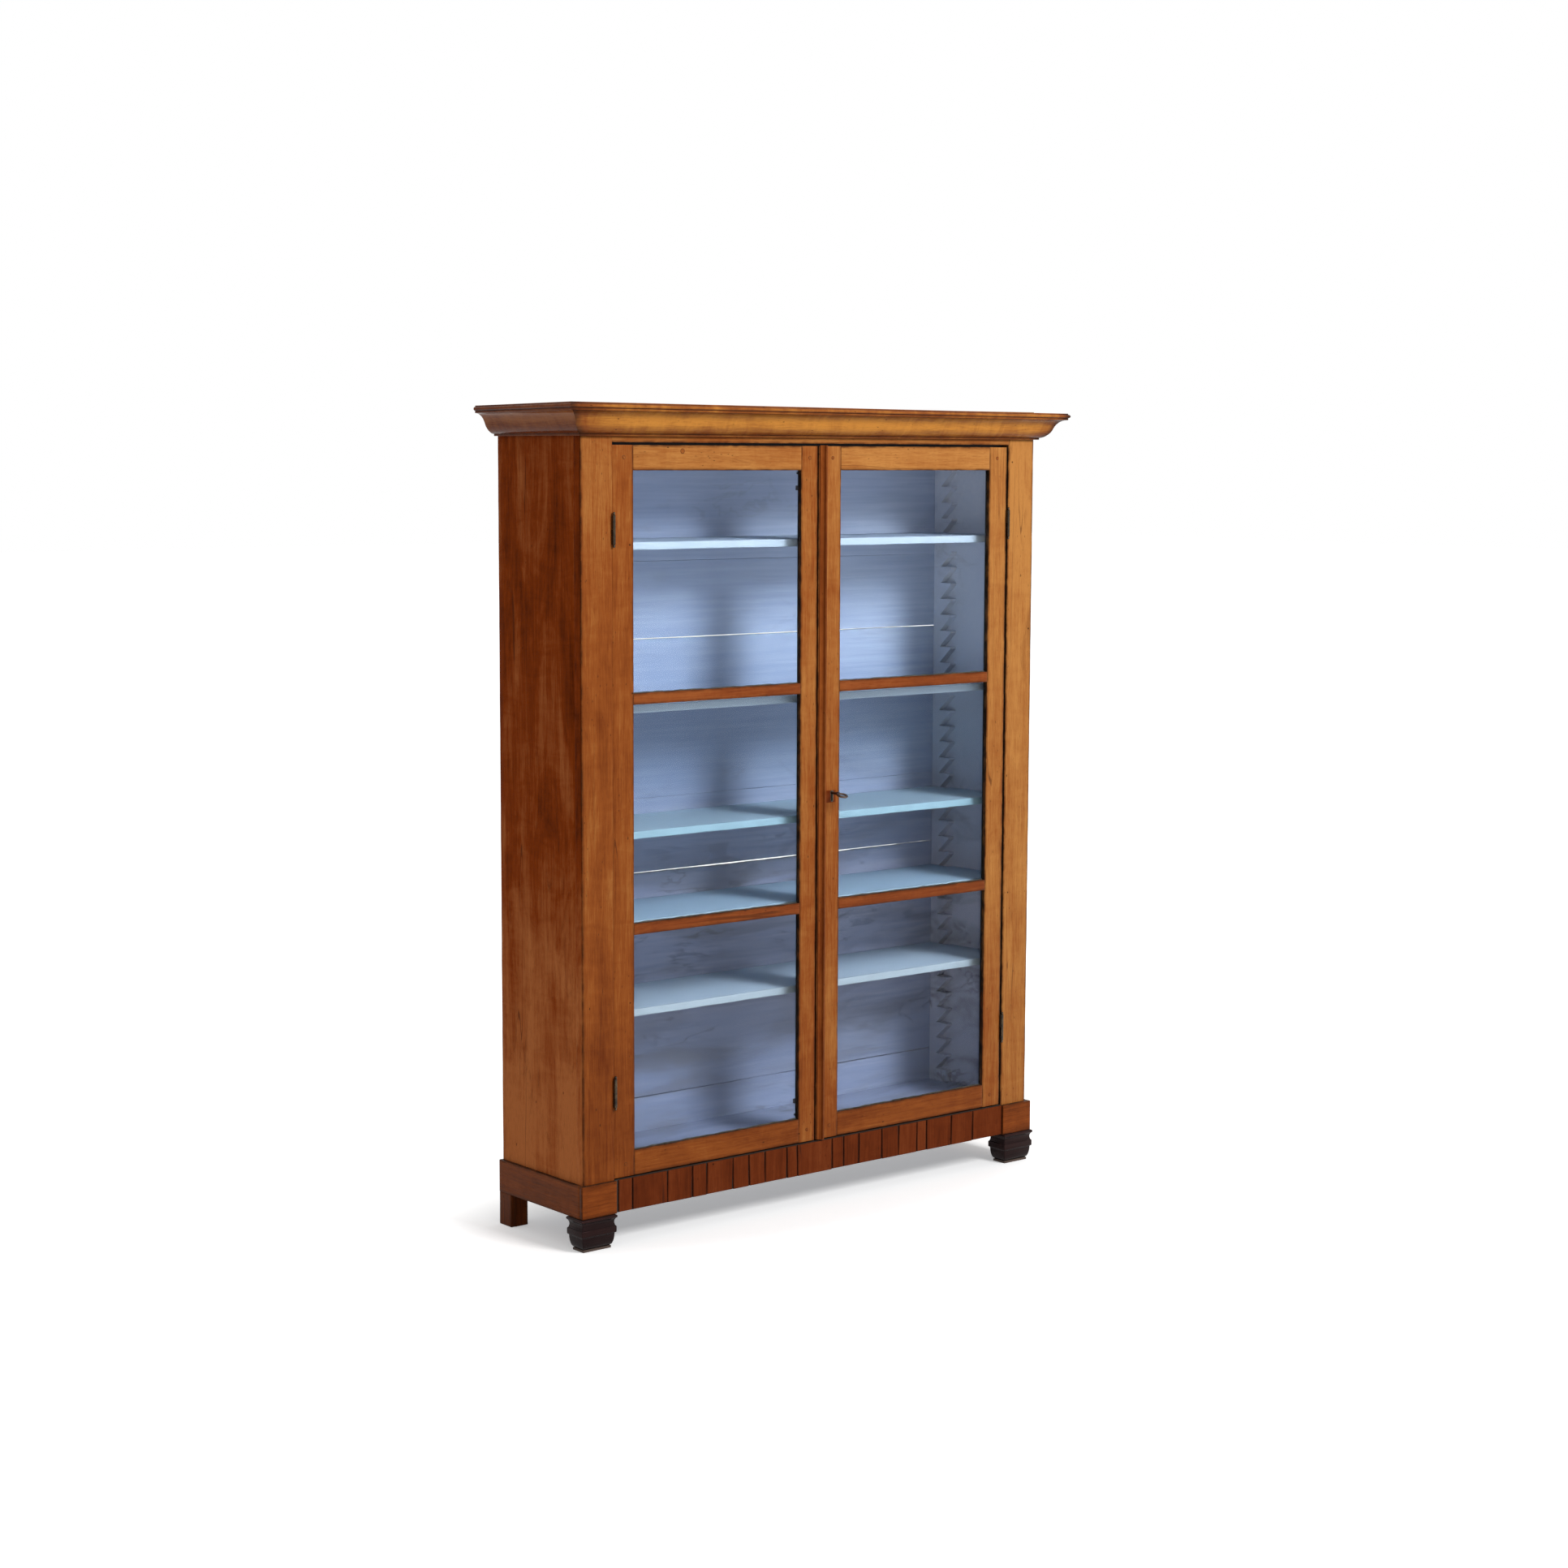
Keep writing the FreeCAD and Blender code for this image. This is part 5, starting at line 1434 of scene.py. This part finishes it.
    def foot(self, hand: Hand) -> None:
        """A front foot, moulded on all four sides.

        Args:
            hand: which foot.
        """
        node = f"{hand.word}_front_foot"
        low, high = corners_of(node)
        fall = np.linspace(0.06, 1, 9)
        belly = np.stack([-9 * (1 - np.sqrt(1 - fall**2)), 33 - 28 * fall], 1)
        profile = np.concatenate([
            [(-2, self.foot_height), (0.5, self.foot_height)],
            arc((0.6, 68), 4, 80, -75, 8),
            arc((14, 56), 14.5, 141, 203, 10),
            [(0.9, 49.4)],
            arc((0.2, 45.6), 3, 75, 0, 5),
            arc((0.2, 36), 3, 0, -80, 5),
            belly,
            [(-12, 5)],
        ]) * MM
        profile[:, 1] += high[2] - self.foot_height * MM
        wear = np.clip((profile[:, 0] - 1.5 * MM) / (3 * MM), 0, 1) * 0.7
        shell = square_turned(profile, low[:2] + self.foot_reach, high[:2] - self.foot_reach, 1.2 * MM,
                              Seed.FOOT + hand.value, wear)
        make_piece(f"{hand.word}_moulded_foot", [shell], FOOT_WOOD, self.body, [node])

    def solids(self) -> None:
        """Finishes of the solids that stay in view."""
        dress(BLUE_PAINT, "top_board", "bottom_board")
        dress(LIT_WALL_PAINT, "shelf_racks", "shelf_bearers")
        dress(BARE_WOOD, "dust_board")
        dress(CORE_WOOD, "apron_core")
        dress(SOLE_WOOD, "front_foot_soles")
        dress(BRASS, "left_hinge_frame_leaves", "right_hinge_frame_leaves", "hinge_pins")


@dataclass
class Shelf:
    """A loose shelf: a board between the racks, with a tongue at each end.

    Attributes:
        number: counted from the lowest.
        base: colour of the paint, partly painted light.
        trim: colour of the front edge, partly painted light.
        tongue: length of an end tongue.
        tongue_depth: first and last place of a tongue along Y, between the racks.
    """

    number: int
    base: Colour
    trim: Colour
    tongue: float = 18 * MM
    tongue_depth: tuple[float, float] = (-36 * MM, 105 * MM)

    def build(self) -> None:
        """Make the shelf and paint it."""
        node = f"shelf_{self.number}"
        low, high = corners_of(node)
        ends = (low[0] + self.tongue, high[0] - self.tongue)
        board = Member(Axis.X, box_section((low[1], high[1]), (low[2], high[2])), ends, seed=Seed.SHELF + self.number,
                       radius=1.4 * MM, uneven=0.7, spacing=10 * MM).shell()
        board.mark = (board.verts[:, 1] < low[1] + 1.5 * MM).astype(float)
        shells = [board]
        for start, end in ((low[0], ends[0]), (ends[1], high[0])):
            section = box_section(self.tongue_depth, (low[2] + 0.1 * MM, high[2] - 0.1 * MM))
            shells.append(Member(Axis.X, section, (start, end), seed=Seed.TONGUE + self.number).shell())
        pale = tuple(1.25 * value for value in self.base)
        finish = Paint(f"shelf_paint_{self.number}", base=self.base, pale=pale, trim=self.trim, dirt=0.2,
                       shaded_and_stained=False)
        make_piece(f"shelf_board_{self.number}", shells, finish, node, [node])


@dataclass
class Door:
    """A glazed door.

    Attributes:
        hand: which of the two.
        lip: wood in front of the glass.
        rebate: overlap of wood and glass.
        leaf_stand: how far hinge leaves stand out of the edge.
        hinge_fill: wood over the left door's hinge leaves, which leaves a tight joint.
        peg_radius: radius of a peg's head.
        head_gap: extra room over the door.
        plug: place of the wooden plug in the left top rail, along X and Z.
        bar_height: height of a glazing bar.
    """

    hand: Hand
    lip: float = 9 * MM
    rebate: float = 8 * MM
    leaf_stand: float = 0.2 * MM
    hinge_fill: float = 1.75 * MM
    peg_radius: float = 4 * MM
    head_gap: float = 1.7 * MM
    plug: tuple[float, float] = (-379.5 * MM, 1667 * MM)
    bar_height: float = 24 * MM

    def __post_init__(self) -> None:
        """Read the door's main lines from its solids."""
        self.word = self.hand.word
        self.body = f"{self.word}_door"
        hinge = corners_of(f"{self.word}_hinge_stile")
        meeting = corners_of(f"{self.word}_meeting_stile")
        self.front, self.rear = hinge[0][1], hinge[1][1]
        self.bottom, self.top = hinge[0][2], hinge[1][2] - self.head_gap
        left, right = (hinge, meeting) if self.hand is Hand.LEFT else (meeting, hinge)
        self.left_stile = (left[0][0], left[1][0])
        self.right_stile = (right[0][0], right[1][0])
        self.sight = (self.left_stile[1], self.right_stile[0])
        self.sill = corners_of(f"{self.word}_bottom_rail")[1][2]
        self.head = corners_of(f"{self.word}_top_rail")[0][2]

    def build(self) -> None:
        """Make and dress the whole door."""
        self.stiles()
        self.rails()
        self.bars()
        self.pegs()
        self.grime()
        dress(GLASS, f"{self.word}_panes")
        dress(PUTTY, f"{self.word}_putty")
        dress(BRASS, f"{self.word}_hinge_door_leaves")

    def stile(self, left: float, right: float, sight_right: bool, seed: int) -> Shell:
        """An upright with a rebate behind its sight edge.

        Args:
            left: lower X.
            right: higher X.
            sight_right: whether the glass is on the right.
            seed: picks its grain.

        Returns:
            Its shell.
        """
        shelf = self.front + self.lip
        if sight_right:
            joint = TIGHT if self.hand is Hand.LEFT else 1.0
            section = [Corner(left, self.front, joint), Corner(right, self.front), Corner(right, shelf, LIP),
                       Corner(right - self.rebate, shelf), Corner(right - self.rebate, self.rear, REAR),
                       Corner(left, self.rear)]
        else:
            section = [Corner(left, self.front), Corner(right, self.front), Corner(right, self.rear),
                       Corner(left + self.rebate, self.rear, REAR), Corner(left + self.rebate, shelf),
                       Corner(left, shelf, LIP)]
        # The tone is painted light: stiles further right are lighter.
        member = Member(Axis.Z, section, (self.bottom, self.top), seed=seed, radius=1.1 * MM,
                        tone=0.53 + 0.22 * (left + right) / 2)
        # Sight edges, and the ends, take dirt and painted shade.
        darkened_planes = [right if sight_right else left]
        if self.hand is Hand.RIGHT:
            darkened_planes = [left, right]
        shell = member.shell().darken_planes(Axis.X, *darkened_planes).darken_planes(Axis.Z, self.bottom, self.top)
        if sight_right and self.hand is Hand.LEFT:
            shell.wear[shell.verts[:, 0] < left + 1 * MM] = 0.2
        return shell

    def stiles(self) -> None:
        """Hinge stile and meeting stile, one piece each."""
        sides = {"left": (*self.left_stile, True), "right": (*self.right_stile, False)}
        for side, (left, right, sight_right) in sides.items():
            role = "hinge" if side == self.word else "meeting"
            if role == "hinge":
                left -= self.hinge_fill if side == "left" else 0.0
                right -= self.leaf_stand if side == "right" else 0.0
            node = f"{self.word}_{role}_stile"
            shell = self.stile(left, right, sight_right, Seed.STILE + 7 * self.hand.value + len(side))
            piece = make_piece(f"{node}_wood", [shell], DOOR_WOOD, self.body, [node])
            if self.hand is Hand.RIGHT and role == "meeting":
                cut_keyhole(piece)

    def rails(self) -> None:
        """Top and bottom rail, rebated behind for the glass."""
        shelf = self.front + self.lip
        bottom = [Corner(self.front, self.bottom), Corner(self.rear, self.bottom),
                  Corner(self.rear, self.sill - self.rebate, REAR), Corner(shelf, self.sill - self.rebate),
                  Corner(shelf, self.sill, LIP), Corner(self.front, self.sill)]
        top = [Corner(self.front, self.head), Corner(shelf, self.head, LIP),
               Corner(shelf, self.head + self.rebate), Corner(self.rear, self.head + self.rebate, REAR),
               Corner(self.rear, self.top), Corner(self.front, self.top)]
        # Tones are painted light: top rails lighter than bottom rails, the right door's lighter than the left's.
        rails = (
            ("bottom", bottom, Seed.BOTTOM_RAIL, 0.47),
            ("top", top, Seed.TOP_RAIL, 0.61 + 0.04 * self.hand.value),
        )
        for role, section, seed, tone in rails:
            member = Member(Axis.X, section, self.sight, seed=seed + self.hand.value, tone=tone,
                            end_radius=0.25 * MM, radius=1.1 * MM)
            node = f"{self.word}_{role}_rail"
            shell = member.shell().darken_planes(Axis.Z, self.sill, self.head, self.bottom, self.top)
            make_piece(f"{node}_wood", [shell], DOOR_WOOD, self.body, [node])

    def bars(self) -> None:
        """Two glazing bars of T section."""
        node = f"{self.word}_glazing_bars"
        low, high = corners_of(node)
        shelf = self.front + self.lip
        shells = []
        for index, foot in enumerate((low[2], high[2] - self.bar_height)):
            top = foot + self.bar_height
            section = [Corner(self.front, foot), Corner(shelf, foot, LIP), Corner(shelf, foot + self.rebate),
                       Corner(self.rear, foot + self.rebate, REAR), Corner(self.rear, top - self.rebate, REAR),
                       Corner(shelf, top - self.rebate), Corner(shelf, top, LIP), Corner(self.front, top)]
            member = Member(Axis.X, section, self.sight, seed=Seed.BAR + index + 3 * self.hand.value, tone=0.5,
                            end_radius=0.25 * MM, radius=1.0 * MM)
            shells.append(member.shell().darken_planes(Axis.Z, foot, top))
        make_piece(f"{node}_wood", shells, BAR_WOOD, self.body, [node])

    def pegs(self) -> None:
        """Heads of the pegs through the corner joints."""
        low, high = corners_of(f"{self.word}_pegs")
        shells = []
        for index, x in enumerate((low[0] + self.peg_radius, high[0] - self.peg_radius)):
            for step, z in enumerate((low[2] + self.peg_radius, high[2] - self.peg_radius)):
                shells.append(dome((x, self.front, z), self.peg_radius, 0.5 * MM, self.rear - self.front,
                                   Seed.PEG + 2 * index + step))
        if self.hand is Hand.LEFT:
            place = (self.plug[0], self.front, self.plug[1])
            shells.append(dome(place, 1.4 * self.peg_radius, 0.3 * MM, self.lip, Seed.PLUG))
        node = f"{self.word}_pegs"
        make_piece(f"{node}_heads", shells, DOOR_WOOD, self.body, [node])

    def grime(self) -> None:
        """Dust caked along the foot of each pane: a thin strip whose top edge wavers."""
        face = corners_of(f"{self.word}_panes")[0][1]
        low, high = corners_of(f"{self.word}_glazing_bars")
        shells = []
        for index, foot in enumerate((self.sill, low[2] + self.bar_height, high[2])):
            section = box_section((face - 0.5 * MM, face + 0.2 * MM), (foot - 0.5 * MM, foot + 1.6 * MM))
            member = Member(Axis.X, section, self.sight, seed=Seed.PANE_DUST + index, radius=0.2 * MM,
                            spacing=4 * MM)
            shell = member.shell()
            upper = shell.verts[:, 2] > foot + 0.8 * MM
            wave = wobble(shell.verts[:, 0], Seed.DUST_EDGE + 5 * index + self.hand.value, 0.03)
            shell.verts[:, 2] += np.where(upper, wave * 1.1 * MM, 0.0)
            shells.append(shell)
        make_piece(f"{self.word}_pane_dust", shells, GRIME, self.body)


def cut_keyhole(stile: bpy.types.Object) -> None:
    """Cut the seat of the keyhole liner through a stile.

    The cutter is the liner's outline, a round eye over a slot with a rounded foot, carried through the wood.

    Args:
        stile: the stile's piece.
    """
    low, high = corners_of("keyhole_liner")
    middle = (low[0] + high[0]) / 2
    eye = (high[0] - low[0]) / 2
    slot = 3.5 * MM
    edge = math.degrees(math.asin(slot / eye))
    outline = np.concatenate([
        arc((high[2] - eye, middle), eye, -(180 - edge), 180 - edge, 24),
        arc((low[2] + slot, middle), slot, 90, 270, 12),
    ])
    wood_low, wood_high = corners_of("right_meeting_stile")
    past = 2 * MM
    front, rear = (np.full(len(outline), place) for place in (wood_low[1] - past, wood_high[1] + past))
    shell = carried(Axis.Y, outline, front, rear, Seed.KEYHOLE, spacing=1.0)
    mesh = bpy.data.meshes.new("keyhole_cutter")
    mesh.from_pydata(shell.verts.tolist(), [], shell.numbered(0))
    cutter = bpy.data.objects.new("keyhole_cutter", mesh)
    bpy.context.scene.collection.objects.link(cutter)
    modifier = stile.modifiers.new("keyhole", "BOOLEAN")
    modifier.object = cutter
    modifier.solver = "EXACT"
    view = bpy.context.evaluated_depsgraph_get()
    carved = bpy.data.meshes.new_from_object(stile.evaluated_get(view))
    stile.modifiers.clear()
    stile.data = carved
    bpy.data.objects.remove(cutter)


@dataclass
class Ironwork:
    """Cover strip, lock, key and slide bolts of the doors."""

    def build(self) -> None:
        """Make the strip and dress the metal."""
        self.strip()
        dress(LINER_BRASS, "keyhole_liner")
        dress(KEY_IRON, "key")
        dress(STEEL, "lock_case", "lock_bolt", "slide_bolt_plates", "top_slide_bolt", "bottom_slide_bolt")

    def strip(self) -> None:
        """Cover strip on the right door: a hollow that faces left, a flat crest and a rounded right edge."""
        low, high = corners_of("cover_strip")
        left, right, crest, foot = low[0], high[0], low[1], high[1]
        hollow, ease = 9 * MM, 1.6 * MM
        section = np.concatenate([
            [(left, foot), (left, crest + hollow + 0.3 * MM)],
            arc((left, crest), hollow, 88, 4, 10),
            [(left + hollow + 0.5 * MM, crest)],
            arc((right - ease, crest + ease), ease, -90, 0, 4),
            [(right, foot)],
        ])
        wear = np.zeros(len(section))
        wear[1:3] = 0.8
        wear[12:18] = 0.6
        foot_end, head_end = (np.full(len(section), place) for place in (low[2], high[2]))
        shell = carried(Axis.Z, section, foot_end, head_end, Seed.COVER_STRIP, wear=wear, tone=0.35)
        make_piece("cover_strip_wood", [shell], DOOR_WOOD, "right_door", ["cover_strip"])


# Studio


@dataclass
class Studio:
    """Floor, light and camera.

    Attributes:
        eye: camera's place.
        turn: camera's turn to the right of +Y, in degrees.
        tilt: camera's tilt above the horizon, in degrees.
        roll: camera's roll, in degrees.
        lens: focal length, in mm.
        sensor: width of the sensor, in mm.
        far: how far the camera sees.
        fill: strength of the even light.
        key_power: power of the soft lamp, in watts.
        key_place: middle of the soft lamp.
        key_size: width and height of the soft lamp.
        key_aim: the point that the soft lamp faces.
        floor_reach: half the width of the floor.
        painted_shadow_half: half axes of the ellipse under the case inside which the floor glows less, a painted
            shadow.
        floor_glow_and_painted_shadow: what the floor adds to its light inside the ellipse, and how much more outside,
            so that the ellipse holds a painted shadow.
    """

    eye: Triple = (-4.0033, -4.8591, 1.6584)
    turn: float = 39.46
    tilt: float = -6.59
    roll: float = 0.219
    lens: float = 65.25
    sensor: float = 36.0
    far: float = 200.0
    fill: float = 0.42
    key_power: float = 200.0
    key_place: Triple = (0.8, -4.25, 3.83)
    key_size: tuple[float, float] = (1.5, 1.8)
    key_aim: Triple = (0.0, -0.12, 0.9)
    floor_reach: float = 40.0
    painted_shadow_half: tuple[float, float] = (0.72, 0.3)
    floor_glow_and_painted_shadow: tuple[float, float] = (0.3, 0.52)

    def build(self) -> None:
        """Set everything up."""
        bpy.context.scene.view_settings.view_transform = "Standard"
        self.camera()
        self.world()
        self.lamp()
        self.floor()

    def camera(self) -> None:
        """Camera at the photograph's angle."""
        turn, tilt, roll = (math.radians(angle) for angle in (self.turn, self.tilt, self.roll))
        ahead = np.array([math.sin(turn) * math.cos(tilt), math.cos(turn) * math.cos(tilt), math.sin(tilt)])
        right = np.cross(ahead, (0, 0, 1))
        right /= np.linalg.norm(right)
        up = np.cross(right, ahead)
        right = right * math.cos(roll) + up * math.sin(roll)
        up = np.cross(right, ahead)
        place = np.eye(4)
        place[:3, :4] = np.stack([right, up, -ahead, self.eye], 1)
        data = bpy.data.cameras.new("camera")
        data.lens = self.lens
        data.sensor_width = self.sensor
        data.clip_end = self.far
        camera = bpy.data.objects.new("camera", data)
        camera.matrix_world = Matrix(place.tolist())
        bpy.context.scene.collection.objects.link(camera)
        bpy.context.scene.camera = camera

    def world(self) -> None:
        """Even pale light, seen as white by the camera and in reflections."""
        world = bpy.data.worlds.new("studio")
        bpy.context.scene.world = world
        world.use_nodes = True
        nodes, links = world.node_tree.nodes, world.node_tree.links
        nodes.clear()
        path = nodes.new("ShaderNodeLightPath")
        seen = path.outputs["Is Camera Ray"]
        for other in ("Is Glossy Ray", "Is Transmission Ray"):
            either = nodes.new("ShaderNodeMath")
            either.operation = "MAXIMUM"
            links.new(seen, either.inputs[0])
            links.new(path.outputs[other], either.inputs[1])
            seen = either.outputs[0]
        light = nodes.new("ShaderNodeBackground")
        light.inputs["Strength"].default_value = self.fill
        white = nodes.new("ShaderNodeBackground")
        for shade in (light, white):
            shade.inputs["Color"].default_value = (1, 1, 1, 1)
        choice = nodes.new("ShaderNodeMixShader")
        links.new(seen, choice.inputs[0])
        links.new(light.outputs[0], choice.inputs[1])
        links.new(white.outputs[0], choice.inputs[2])
        end = nodes.new("ShaderNodeOutputWorld")
        links.new(choice.outputs[0], end.inputs["Surface"])

    def lamp(self) -> None:
        """Soft lamp before the right half of the front, above eye level."""
        data = bpy.data.lights.new("softbox", "AREA")
        data.shape = "RECTANGLE"
        data.size, data.size_y = self.key_size
        data.energy = self.key_power
        lamp = bpy.data.objects.new("softbox", data)
        way = np.array(self.key_place) - self.key_aim
        way /= np.linalg.norm(way)
        right = np.cross((0, 0, 1), way)
        right /= np.linalg.norm(right)
        place = np.eye(4)
        place[:3, :4] = np.stack([right, np.cross(way, right), way, self.key_place], 1)
        lamp.matrix_world = Matrix(place.tolist())
        bpy.context.scene.collection.objects.link(lamp)

    def floor(self) -> None:
        """Pale floor that keeps the soft shadow."""
        mesh = bpy.data.meshes.new("floor")
        corners = self.floor_reach * np.array([(-1, -1, 0), (1, -1, 0), (1, 1, 0), (-1, 1, 0)])
        mesh.from_pydata(corners.tolist(), [], [(0, 1, 2, 3)])
        b = Board("pale_floor")
        path = b.add("LightPath").outputs
        seen = b.math("MAXIMUM", path["Is Camera Ray"], path["Is Glossy Ray"])
        seen = b.math("MAXIMUM", seen, path["Is Transmission Ray"])
        away = b.add("VectorMath")
        away.operation = "LENGTH"
        wide, deep = self.painted_shadow_half
        b.put(away.inputs[0], b.scaled(b.place(), (1 / wide, 1 / deep, 0.0)))
        shown = b.add("AddShader")
        inside, more = self.floor_glow_and_painted_shadow
        # Painted shadow: the floor glows less inside the ellipse under the case.
        glow_with_painted_shadow = b.math("MULTIPLY_ADD", b.between(away.outputs["Value"], 0.8, 1.7), more, inside)
        b.put(shown.inputs[0], b.add("BsdfDiffuse", Color=(0.95, 0.95, 0.95)).outputs[0])
        b.put(shown.inputs[1], b.add("Emission", Color=(1.0, 1.0, 1.0), Strength=glow_with_painted_shadow).outputs[0])
        choice = b.add("MixShader", Fac=seen)
        b.put(choice.inputs[1], b.add("BsdfDiffuse", Color=(0.45, 0.45, 0.45)).outputs[0])
        b.put(choice.inputs[2], shown.outputs[0])
        b.put(b.end.inputs["Surface"], choice.outputs[0])
        mesh.materials.append(b.made)
        floor = bpy.data.objects.new("floor", mesh)
        bpy.context.scene.collection.objects.link(floor)


def main() -> None:
    """Build the bookcase and its studio."""
    logging.basicConfig(level=logging.INFO, format="%(name)s %(message)s")
    Carcass().build()
    # Paint and edge colour of each shelf, from the lowest; each is partly painted light, lighter or darker as its
    # shelf is lit.
    coats_with_painted_light = (
        ((0.25, 0.33, 0.43), (0.21, 0.27, 0.33)),
        ((0.2, 0.3, 0.42), (0.18, 0.27, 0.36)),
        ((0.19, 0.28, 0.37), (0.15, 0.26, 0.34)),
        ((0.22, 0.29, 0.38), (0.21, 0.28, 0.37)),
        ((0.23, 0.3, 0.41), (0.27, 0.35, 0.45)),
    )
    for number, (base, trim) in enumerate(coats_with_painted_light, start=1):
        Shelf(number, base, trim).build()
    for hand in Hand:
        Door(hand).build()
    Ironwork().build()
    Studio().build()
    bpy.context.view_layer.update()


if __name__ == "__main__":
    main()
